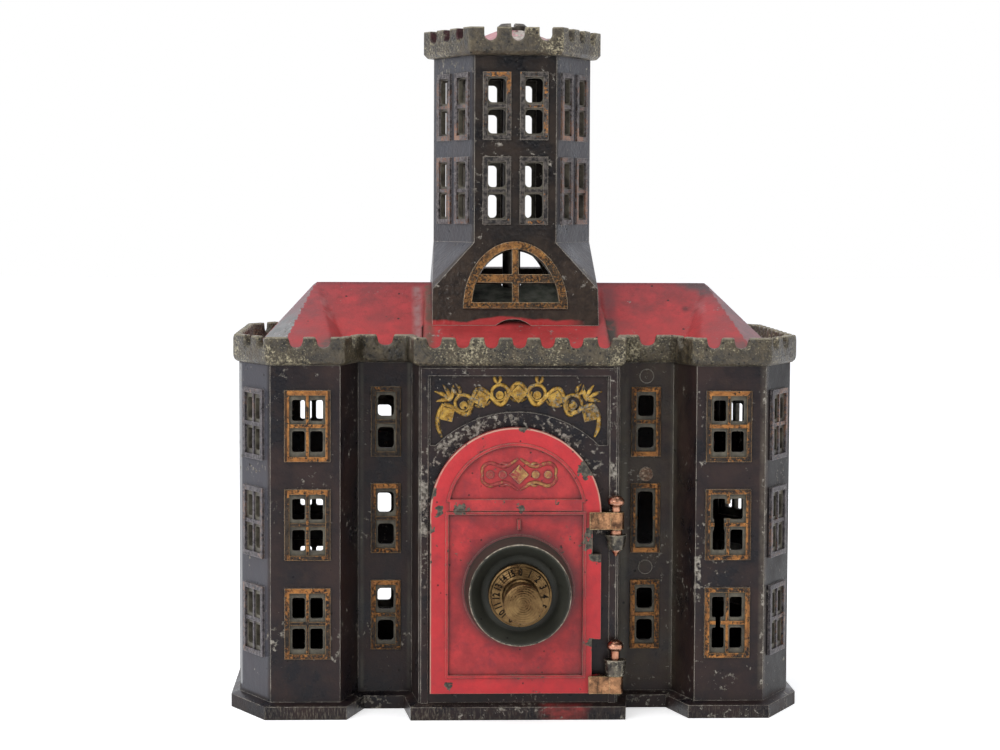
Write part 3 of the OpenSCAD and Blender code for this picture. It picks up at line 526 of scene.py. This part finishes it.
agedBrass = metal(  # turned brass, brown with age, bright on the knob's rim
    "agedBrass", toneSize=3, dark="#503c27", light="#7b6342", bright="#c6ad7c", grime="#1f1710", dirt=0.9,
    edgeReach=0.3, axis=dialAt, around="Y", turning=0.8, gloss=(0.24, 0.38), metallic=1.0, relief=0.06)
pinCopper = metal(  # coppered steel, polished by use
    "copperedPin", toneSize=1.6, dark="#8f5f49", light="#d29c80", bright="#f0d8c6", grime="#4a2c20",
    dirt=0.4, edgeReach=0.25, axis=(*hingeAt, 0), around="Z", turning=0.3, gloss=(0.2, 0.32),
    metallic=1.0, relief=0.03, rounding=0.6)
oldSteel = metal(  # dull grey with brown bloom
    "tarnishedSteel", toneSize=3, dark="#3a3632", light="#5d5852", bright="#9d978e", grime="#1c1815",
    dirt=0.8, edgeReach=0.3, axis=(0, 0, 0), around="Z", turning=0.3, gloss=(0.32, 0.5), metallic=1.0,
    relief=0.03)
print("materials made")


# rounded copies of the castings

def addObject(name, data):
    piece = bpy.data.objects.new(name, data)
    bpy.context.scene.collection.objects.link(piece)
    return piece


def finished(holder):
    # the mesh that an object's modifiers or its curve make
    return bpy.data.meshes.new_from_object(holder.evaluated_get(bpy.context.evaluated_depsgraph_get()))


def meshOf(bm, name):
    mesh = bpy.data.meshes.new(name)
    bm.to_mesh(mesh)
    bm.free()
    return mesh


# mm, a quarter of the battlements' outline; the walls' faces lie inside it
quarter = [Vector(p) for p in (
    (27, -47.2), (28.6, -32.3), (38.8, -32.3), (43, -46), (63.4, -46), (72.9, -28.5))]
outline = (quarter + [Vector((p.x, -p.y)) for p in reversed(quarter)]
           + [Vector((-p.x, -p.y)) for p in quarter] + [Vector((-p.x, p.y)) for p in reversed(quarter)])
faceInset = 2.2
hexagon = [Vector(p) for p in (
    (10.6, -19.5), (20.8, 0), (10.6, 19.5), (-10.6, 19.5), (-20.8, 0), (-10.6, -19.5))]


def depthInside(point, ring):
    # how far a point lies inside an outline, in mm; negative outside
    flat = Vector((point.x, point.y))
    best, crossings = math.inf, 0
    for a, b in zip(ring, ring[1:] + ring[:1]):
        t = max(0, min(1, (flat - a).dot(b - a) / (b - a).length_squared))
        best = min(best, (flat - a - t * (b - a)).length)
        if (a.y > flat.y) != (b.y > flat.y):
            crossings += (b.x - a.x) * (flat.y - a.y) / (b.y - a.y) + a.x > flat.x
    return best if crossings % 2 else -best


def insetCorner(a, b, c):
    sides = [(q - p).normalized() for p, q in ((a, b), (b, c))]
    n1, n2 = (Vector((-d.y, d.x)) for d in sides)
    return b + faceInset * (n1 + n2) / (1 + n1.dot(n2))


facetFront = insetCorner(quarter[3], quarter[4], quarter[5])
facetSide = insetCorner(quarter[4], quarter[5], Vector((72.9, 28.5)))
facetTurn = math.atan2(facetSide.y - facetFront.y, facetSide.x - facetFront.x)
facetMid = (facetFront + facetSide) / 2
shaftSide = hexagon[1] - hexagon[0]
shaftMid = (hexagon[1] + hexagon[0]) / 2
shaftTurn = math.atan2(shaftSide.y, shaftSide.x)

windows = dict(  # mm; size is width and height with the border, foot is x and y on the wall's face
    towerSize=(11.4, 17.8), towerFoot=(52.8, -43.8), narrowSize=(7.5, 17.8), recessFoot=(33.3, -30.1),
    bayFoot=(9, -45), sills=(15.1, 40, 64.8), shaftSize=(7.2, 17.4), shaftSills=(124, 145.8), shaftStep=4.8,
    rearLift=0.95, rearSpread=1.0246)  # the rear windows are cast a little apart


def wallWindows(spread, lift):
    # foot (front half), turn, size, sills, and whether on a side facet
    rows = [z + lift for z in windows["sills"]]
    columns = [((side * facetMid.x, facetMid.y), side * facetTurn, windows["towerSize"], rows, True)
               for side in (1, -1)]
    for side in (-1, 1):
        for place, size in (("towerFoot", "towerSize"), ("recessFoot", "narrowSize")):
            x, y = windows[place]
            columns.append(((x * side * spread, y), 0, windows[size], rows, False))
        if lift:  # only the rear bay has windows
            x, y = windows["bayFoot"]
            columns.append(((x * side, y), 0, windows["narrowSize"], rows, False))
    return columns


def shaftWindows(shift):
    columns = []
    for x, y, turn in ((shift, hexagon[0].y, 0), (shaftMid.x, shaftMid.y, shaftTurn),
                       (-shaftMid.x, shaftMid.y, -shaftTurn)):
        for step in (-windows["shaftStep"], windows["shaftStep"]):
            foot = (x + step * math.cos(turn), y + step * math.sin(turn))
            columns.append((foot, turn, windows["shaftSize"], windows["shaftSills"], turn != 0))
    return columns


def onWindowFrame(corners, columns):
    # 1 on a border that faces front, 2 on one of a side facet, 3 on the ledge inside it, 0 elsewhere
    for foot, turn, (width, tall), rows, sided in columns:
        across, out = Vector((math.cos(turn), math.sin(turn))), Vector((math.sin(turn), -math.cos(turn)))
        flat = [Vector((c.x - foot[0], -abs(c.y) - foot[1])) for c in corners]
        if all(abs(p.dot(across)) <= width / 2 + 0.1 and -2.3 < p.dot(out) < 0.8 for p in flat) and any(
                all(z - 0.1 < c.z < z + tall + 0.1 for c in corners) for z in rows):
            return 3 if max(p.dot(out) for p in flat) < 0.25 else 2 if sided else 1
    return 0


def casting(name, nodeName, body, materials, paint, melt=None):
    # a copy of the CAD casting; paint gives each face its material, and melt is the size in mm to
    # which its corners are softened, as in worn sand moulds
    cad = bmesh.new()
    cad.from_mesh(cadNodes[nodeName].data)
    bmesh.ops.remove_doubles(cad, verts=cad.verts, dist=0.003 * mm)
    for face in cad.faces:
        corners = [v.co / mm for v in face.verts]
        face.material_index = paint(corners, face.calc_center_median() / mm, face.normal)
        face.smooth = True
    mesh = bpy.data.meshes.new(name)
    cad.to_mesh(mesh)
    cadNormals = mesh.attributes.get("custom_normal")
    if cadNormals:
        mesh.attributes.remove(cadNormals)
    piece = addObject(name, mesh)
    if melt:
        remesh = piece.modifiers.new("softCasting", "REMESH")
        remesh.mode = "VOXEL"
        remesh.voxel_size = melt * mm
        soften = piece.modifiers.new("soften", "SMOOTH")
        soften.factor = 0.5
        soften.iterations = 1
        surface = BVHTree.FromBMesh(cad)
        cad.faces.ensure_lookup_table()
        soft = finished(piece)
        piece.modifiers.clear()
        piece.data = soft
        bpy.data.meshes.remove(mesh)
        soft.name = name
        for polygon in soft.polygons:
            nearest = surface.find_nearest(polygon.center)[2]
            polygon.material_index = cad.faces[nearest].material_index
            polygon.use_smooth = True
    else:
        mesh.set_sharp_from_angle(angle=math.radians(28))
    cad.free()
    for material in materials:
        piece.data.materials.append(material)
    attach(piece, body)
    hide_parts(nodeName)


wall = dict(  # mm, where the walls' trim is
    signFoot=70, signTop=86.3, signHalf=22, signArch=29.3, knuckles=(11.4, 43.1), knuckleTall=4.1,
    knuckleRadius=3.3, bossAt=(33.4, 60.2), bossRadius=2.1)


def paintWall(columns):
    # 0 lacquer, 1 gilt, 2 rubbed gilt, 3 ledges, 4 sign ornament, 5 knuckles, 6 bosses, 7 side facets
    def onSign(c):
        return (c.y < -43.9 and wall["signFoot"] < c.z < wall["signTop"] and abs(c.x) < wall["signHalf"]
                and math.hypot(c.x - portalArchAt[0], c.z - portalArchAt[1]) > wall["signArch"])

    def onKnuckle(c, low):
        return (math.hypot(c.x - hingeAt.x, c.y - hingeAt.y) < wall["knuckleRadius"] and c.y < -45.2
                and low < c.z < low + wall["knuckleTall"])

    def onBoss(c):
        return c.y < -30.2 and math.hypot(c.x - wall["bossAt"][0], c.z - wall["bossAt"][1]) < wall["bossRadius"]

    def paint(corners, centre, normal):
        frameKind = onWindowFrame(corners, columns)
        if frameKind:
            return frameKind
        if min(c.y for c in corners) < -44.5 and all(onSign(c) for c in corners):
            return 4
        if any(all(onKnuckle(c, low) for c in corners) for low in wall["knuckles"]):
            return 5
        if all(onBoss(c) for c in corners):
            return 6
        return 7 if abs(normal.x) > 0.6 and abs(centre.x) > 61 else 0
    return paint


wallPaints = [brownJapan, gilt, rubbedGilt, ledgeJapan, signGilt, polishedIron, copperBoss, sideJapan]
rearColumns = wallWindows(windows["rearSpread"], windows["rearLift"])
for wallName, nodeName, columns in (
        ("frontWall", "front_wall", wallWindows(1, 0)), ("rearWall", "rear_wall", rearColumns),
        ("leftWall", "left_wall", []), ("rightWall", "right_wall", [])):
    casting(wallName, nodeName, "bank", wallPaints, paintWall(columns))
print("walls made")


def paintRoof(corners, centre, normal):
    # 0 olive battlements, 1 red slopes, 2 the left hip, rubbed grey, 3 the right one
    if depthInside(centre, outline) < 2.95 or centre.z < 89:
        return 0
    if normal.z > 0.2 and abs(normal.x) > 0.2 and normal.y < -0.15 and abs(centre.x) > 50:
        return 2 if centre.x < 0 else 3
    return 1


roofPaints = [oliveBronze, roofRed, rubbedHip, fadedHip]
casting("battlementRoof", "roof", "bank", roofPaints, paintRoof, 0.69)

shaft = dict(flareTop=119.3, flare=0.2155, archHalf=13.8)  # mm, and how much it widens per mm below


def paintTower(columns):
    # 0 lacquer, 1 worn gilt on the front windows, 2 on the side windows, 3 ledges, 4 the arch
    def paint(corners, centre, normal):
        frameKind = onWindowFrame(corners, columns)
        if frameKind:
            return frameKind
        stand = [abs(c.y) + hexagon[0].y - max(0, shaft["flareTop"] - c.z) * shaft["flare"] for c in corners]
        onArch = all(-0.2 < v < 1.0 for v in stand) and max(stand) > 0.25
        return 4 if onArch and all(abs(c.x) < shaft["archHalf"] for c in corners) else 0
    return paint


towerPaints = [towerJapan, towerGilt, copperGilt, ledgeJapan, archGilt]
casting("towerFront", "tower_front", "bank", towerPaints, paintTower(shaftWindows(0)))
casting("towerRear", "tower_rear", "bank", towerPaints, paintTower(shaftWindows(-0.7)))


def paintCrown(corners, centre, normal):
    # 0 olive, 1 the pale red roof, 2 the gaps, where the roof's red is painted dark as shade
    inwards = Vector((centre.x, centre.y, 0)).normalized().dot(normal) < -0.75
    if centre.z > 168.2 and (depthInside(centre, hexagon) > -0.5 or inwards):
        return 1
    across = Vector((-centre.y, centre.x, 0)).normalized().dot(normal)
    return 2 if centre.z > 170.6 and centre.x < -11 and across > 0.6 else 0


crownPaints = [oliveBronze, crownRed, gapRed]
casting("towerCrown", "tower_crown", "bank", crownPaints, paintCrown, 0.33)
print("roof and tower made")

doorTrim = dict(bossRadius=13.9, lugs=((6.9, 11.4), (48.2, 52.7)), ornamentHalf=9.2)  # mm


def paintDoor(corners, centre, normal):
    # 0 red, 1 the black boss, 2 the lugs, 3 ornament
    away = [math.hypot(c.x - dialAt.x, c.z - dialAt.z) for c in corners]
    if max(away) < doorTrim["bossRadius"] and all(c.y < -47.4 for c in corners):
        return 1
    if any(all(low < c.z < high for c in corners) for low, high in doorTrim["lugs"]):
        left, front = min(c.x for c in corners), min(c.y for c in corners)
        if left > 20.4 or left > 17.3 and front < -48.3:
            return 2
    onPanel = all(c.y < -47.5 and 59 < c.z < 65 and abs(c.x - dialAt.x) < doorTrim["ornamentHalf"]
                  for c in corners)
    return 3 if onPanel and centre.y < -47.7 else 0


casting("archedDoor", "door", "door", [doorRed, bossBlack, rubbedBrass, doorGilt], paintDoor)


def scrollwork(name, strokes, behind, thick, material, body):
    # strokes of (x, z, half width) laid on a face as half-round relief
    curve = bpy.data.curves.new(name, "CURVE")
    curve.dimensions = "3D"
    curve.bevel_depth = mm
    curve.bevel_resolution = 2
    curve.resolution_u = 3
    curve.use_fill_caps = True
    for stroke in strokes:
        spline = curve.splines.new("NURBS")
        spline.points.add(len(stroke) - 1)
        for point, (x, z, half) in zip(spline.points, stroke):
            point.co = (x * mm, 0, z * mm, 1)
            point.radius = half
        spline.order_u = 3
        spline.use_endpoint_u = True
    holder = addObject(name, curve)
    mesh = finished(holder)
    bpy.data.objects.remove(holder)
    mesh.transform(Matrix.Translation((0, behind * mm, 0)) @ Matrix.Diagonal((1, thick, 1, 1)))
    mesh.name = name
    mesh.materials.clear()
    mesh.materials.append(material)
    for polygon in mesh.polygons:
        polygon.use_smooth = True
    piece = addObject(name, mesh)
    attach(piece, body)


def overArch(degrees, radius):
    turn = math.radians(degrees)
    return -0.2 + radius * math.sin(turn), portalArchAt[1] + radius * math.cos(turn)


def curl(x, z, start, turns, outer, inner, half, steps=16):
    # a spiral that thins towards its eye
    points = []
    for i in range(steps + 1):
        t = i / steps
        turn = math.radians(start + 360 * turns * t)
        radius = outer + (inner - outer) * t
        points.append((x + radius * math.sin(turn), z + radius * math.cos(turn), half * (1 - 0.4 * t)))
    return points


def leaf(x, z, aim, length, bend, half):
    # a tapered leaf that starts at a point and bends as it grows
    points = []
    for t, width in ((0, 0.4), (0.25, 0.9), (0.55, 1.0), (0.8, 0.65), (1, 0.2)):
        turn = math.radians(aim + bend * t)
        points.append((x + length * t * math.sin(turn), z + length * t * math.cos(turn), half * width))
    return points


# a wavy ribbon with curls, leaves and lozenges, and a drop of leaves at both ends
signStrokes = [[(*overArch(d, 33.7 + 2.6 * math.cos(math.tau * d / 16)), 0.62) for d in range(-31, 32)]]
for side in (-1, 1):
    for bead in (8, 24):
        x, z = overArch(side * bead, 34.0)
        signStrokes.append(curl(x, z, side * (bead - 115), side * 1.1, 2.5, 1.5, 0.58))
        x, z = overArch(side * bead, 36.4)
        for lean in (1, -1):
            signStrokes.append(leaf(x, z, side * (bead + 55 * lean), 3.0, -side * 50 * lean, 0.55))
    for lozenge in (0, 16):
        for lean in (1, -1):
            x, z = overArch(side * (lozenge + 3.6 * lean), 32.6)
            signStrokes.append(leaf(x, z, side * (lozenge + 180 + 50 * lean), 2.6, side * 30 * lean, 0.55))
    x, z = overArch(side * 31, 36.1)
    signStrokes.append([(x + side * aside, z - drop, half) for aside, drop, half in (
        (0, 0, 0.62), (1.2, 1.6, 0.66), (1.7, 4, 0.7), (1.4, 6.5, 0.6), (0.5, 8.2, 0.3))])
    for aim, length in ((-72, 3.6), (-38, 4.6), (-4, 4.4), (28, 3.4)):
        signStrokes.append(leaf(x - side * 1.6, z + 0.9, -side * aim, length, side * 22, 0.62))
scrollwork("portalScrolls", signStrokes, -44.3, 0.9, signGilt, "bank")

# a border of four mirrored scrolls with two pairs of leaves
doorStrokes = []
for side in (-1, 1):
    for lift in (-1, 1):
        doorStrokes.append([(dialAt.x + side * x, 62 + lift * z, half) for x, z, half in (
            (0.3, 3.9, 0.3), (1.5, 3.1, 0.45), (2.9, 2.1, 0.5), (4.4, 1.9, 0.45), (5.8, 2.5, 0.5),
            (7.4, 3.0, 0.5), (8.8, 2.2, 0.45), (9.4, 0.8, 0.4), (9.0, -0.3 * lift, 0.3))])
        doorStrokes.append(leaf(dialAt.x + side * 2.6, 62 + lift * 2.2, side * (90 - 50 * lift), 2.4,
                                side * 40 * lift, 0.4))
scrollwork("doorScrolls", doorStrokes, -47.55, 0.8, doorGilt, "door")


def paintPlain(corners, centre, normal):
    return 0


for pinName, nodeName in (("upperHingePin", "upper_hinge_pin"), ("lowerHingePin", "lower_hinge_pin")):
    casting(pinName, nodeName, "bank", [pinCopper], paintPlain)
casting("tieBolt", "tie_bolt", "bank", [oldSteel], paintPlain)


# brass dial: one turned piece with numbers round its face
dial = dict(segments=96, knobLength=12.6, numbers=16, numberSize=2.5, numberRing=5.95, numberSqueeze=0.72,
            faceAt=-57.2)  # mm


def turned(name, profile, centre, segments):
    # a profile of (radius, distance behind the front end), spun about the dial's axis
    bm = bmesh.new()
    ring = [bm.verts.new(Vector((r, y, 0)) * mm) for r, y in profile]
    edges = [bm.edges.new((a, b)) for a, b in zip(ring, ring[1:])]
    bmesh.ops.spin(bm, geom=ring + edges, cent=(0, 0, 0), axis=(0, 1, 0), angle=math.tau,
                   steps=segments, use_merge=True)
    bmesh.ops.remove_doubles(bm, verts=bm.verts, dist=0.001 * mm)
    bmesh.ops.recalc_face_normals(bm, faces=bm.faces)
    bmesh.ops.translate(bm, vec=Vector(centre) * mm, verts=bm.verts)
    for face in bm.faces:
        face.smooth = True
    return addObject(name, meshOf(bm, name))


knobProfile = [(0, 0), (2, 0.02), (4.3, 0), (4.62, 0.1), (4.74, 0.35), (4.74, 2.5), (4.6, 2.85), (4.2, 3.6),
               (3.7, 4.2), (3.3, 4.9), (3.0, 5.8), (2.9, 6.8), (2.95, 7.8), (3.1, 8.8), (3.15, 9.0),
               (3.6, 9.2), (3.75, 9.5), (3.6, 9.8), (3.75, 10.2), (4.2, 10.9), (4.5, 11.5)]
knobProfile += [(radius, dial["knobLength"] + behind) for radius, behind in (  # the ring with the numbers
    (4.58, -0.15), (4.75, 0), (6.95, 0), (7.12, 0.06), (7.2, 0.22), (7.2, 0.9), (7.35, 1.12), (7.74, 1.2),
    (7.85, 1.35), (7.85, 4.7), (7.7, 4.8), (0, 4.8))]
knobTip = (dialAt.x, dial["faceAt"] - dial["knobLength"], dialAt.z)
knob = turned("dialKnob", knobProfile, knobTip, dial["segments"])
knob.data.materials.append(agedBrass)
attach(knob, "dial")
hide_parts("dial_knob")


def numeral(text):
    curve = bpy.data.curves.new("numeral", "FONT")
    curve.body = text
    curve.size = dial["numberSize"] * mm
    curve.align_x = "CENTER"
    curve.align_y = "CENTER"
    curve.extrude = 0.05 * mm
    curve.offset = 0.07 * mm
    curve.resolution_u = 3
    holder = addObject("numeral", curve)
    mesh = finished(holder)
    bpy.data.objects.remove(holder)
    return mesh


numerals = bmesh.new()
upright = Matrix.Translation(Vector((dialAt.x, dial["faceAt"], dialAt.z)) * mm) @ Matrix.Rotation(
    math.pi / 2, 4, "X")
outwards = Matrix.Translation((0, dial["numberRing"] * mm, 0)) @ Matrix.Diagonal(
    (dial["numberSqueeze"], 1, 1, 1))
for i in range(dial["numbers"]):
    mesh = numeral(str(i))
    mesh.transform(upright @ Matrix.Rotation(-math.tau * i / dial["numbers"], 4, "Z") @ outwards)
    numerals.from_mesh(mesh)
    bpy.data.meshes.remove(mesh)
numeralPiece = addObject("dialNumerals", meshOf(numerals, "dialNumerals"))
numeralPiece.data.materials.append(stampBlack)
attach(numeralPiece, "dial")
print("door and dial made")

# the pieces inside keep their CAD shape and get the same metals
for material, nodeNames in (
        (bareIron, ("base_plate", "lock_catch")),
        (oldSteel, ("catch_screws", "dial_spindle", "drive_disc", "spindle_nut")),
        (agedBrass, ("spindle_collar", "front_tumbler", "tumbler_spacer", "rear_tumbler", "drive_spacer"))):
    for nodeName in nodeNames:
        cadNodes[nodeName].data.materials.clear()
        cadNodes[nodeName].data.materials.append(material)


# studio

studio = dict(front=0.12, back=0.95, frontShine=0.1, glow=0.55)  # strengths of the paper's light and shine
lamps = {  # soft boxes: place and size in metres, power in watts
    "keyBox": dict(at=(-0.55, -0.95, 0.75), size=0.7, power=7),
    "fillBox": dict(at=(0.75, -0.8, 0.45), size=0.8, power=3),
    "topBox": dict(at=(0.0, 0.1, 1.1), size=0.9, power=5),
}
view = dict(lens=86.4, at=(-31.0, -641.2, 127.1), yaw=2.51, pitch=3.88, roll=0.26)  # mm and degrees


# white paper floor, with the bank's soft shadow
def makeFloor():
    bm = bmesh.new()
    bmesh.ops.create_grid(bm, x_segments=1, y_segments=1, size=4)
    floor = addObject("paperFloor", meshOf(bm, "paperFloor"))
    material = bpy.data.materials.new("whitePaper")
    material.use_nodes = True
    startTree(material.node_tree)
    path = addNode("LightPath").outputs
    seen = joined("ADD", path["Is Glossy Ray"], path["Is Transmission Ray"], path["Is Camera Ray"])
    paper = addNode("BsdfDiffuse", {"Color": linear("#f0f0f0")})
    glow = addNode("Emission", {"Color": (1, 1, 1, 1), "Strength": studio["glow"]})
    lit = addNode("AddShader", {0: paper.outputs[0], 1: glow.outputs[0]})
    shown = addNode("MixShader", {0: seen, 1: paper.outputs[0], 2: lit.outputs[0]})
    addNode("OutputMaterial", {"Surface": shown.outputs[0]})
    floor.data.materials.append(material)


def makeWorld():
    # white paper round the back and sides, a dim room behind the photographer
    world = bpy.data.worlds.new("paperStudio")
    bpy.context.scene.world = world
    world.use_nodes = True
    startTree(world.node_tree)
    facing = addNode("VectorMath", {0: addNode("TexCoord").outputs["Generated"], 1: (-0.9, 1, 0)},
                     operation="DOT_PRODUCT").outputs["Value"]
    room = between(border(facing, -0.6, 0.3), studio["front"], studio["back"])
    shine = between(border(facing, -0.6, 0.1), studio["frontShine"], 1.0)
    around = addNode("Background", {"Color": linear("#f4f7ff"), "Strength": room})
    mirrored = addNode("Background", {"Color": linear("#f7f9ff"), "Strength": shine})
    white = addNode("Background", {"Color": (1, 1, 1, 1), "Strength": 1.0})
    path = addNode("LightPath").outputs
    glossy = joined("ADD", path["Is Glossy Ray"], path["Is Transmission Ray"])
    shown = addNode("MixShader", {0: glossy, 1: around.outputs[0], 2: mirrored.outputs[0]})
    shown = addNode("MixShader", {0: path["Is Camera Ray"], 1: shown.outputs[0], 2: white.outputs[0]})
    addNode("OutputWorld", {"Surface": shown.outputs[0]})


def makeLamps():
    for name, lamp in lamps.items():
        light = bpy.data.lights.new(name, "AREA")
        light.energy = lamp["power"]
        light.size = lamp["size"]
        holder = addObject(name, light)
        aim = Vector((0, 0, 0.08)) - Vector(lamp["at"])
        holder.location = lamp["at"]
        holder.rotation_euler = aim.to_track_quat("-Z", "Y").to_euler()


def makeCamera():
    data = bpy.data.cameras.new("photoCamera")
    data.lens = view["lens"]
    data.sensor_width = 36
    data.sensor_fit = "HORIZONTAL"
    data.clip_start = 0.01
    camera = addObject("photoCamera", data)
    yaw, pitch, roll = (math.radians(view[k]) for k in ("yaw", "pitch", "roll"))
    forward = Vector((math.sin(yaw) * math.cos(pitch), math.cos(yaw) * math.cos(pitch), -math.sin(pitch)))
    right = Vector((math.cos(yaw), -math.sin(yaw), 0))
    up = right.cross(forward)
    right, up = (math.cos(roll) * right + math.sin(roll) * up, math.cos(roll) * up - math.sin(roll) * right)
    turn = Matrix((right, up, -forward)).transposed().to_4x4()
    camera.matrix_world = Matrix.Translation(Vector(view["at"]) * mm) @ turn
    bpy.context.scene.camera = camera


makeFloor()
makeWorld()
makeLamps()
makeCamera()
scene = bpy.context.scene
scene.view_settings.view_transform = "Standard"
print("studio made")

bpy.context.view_layer.update()
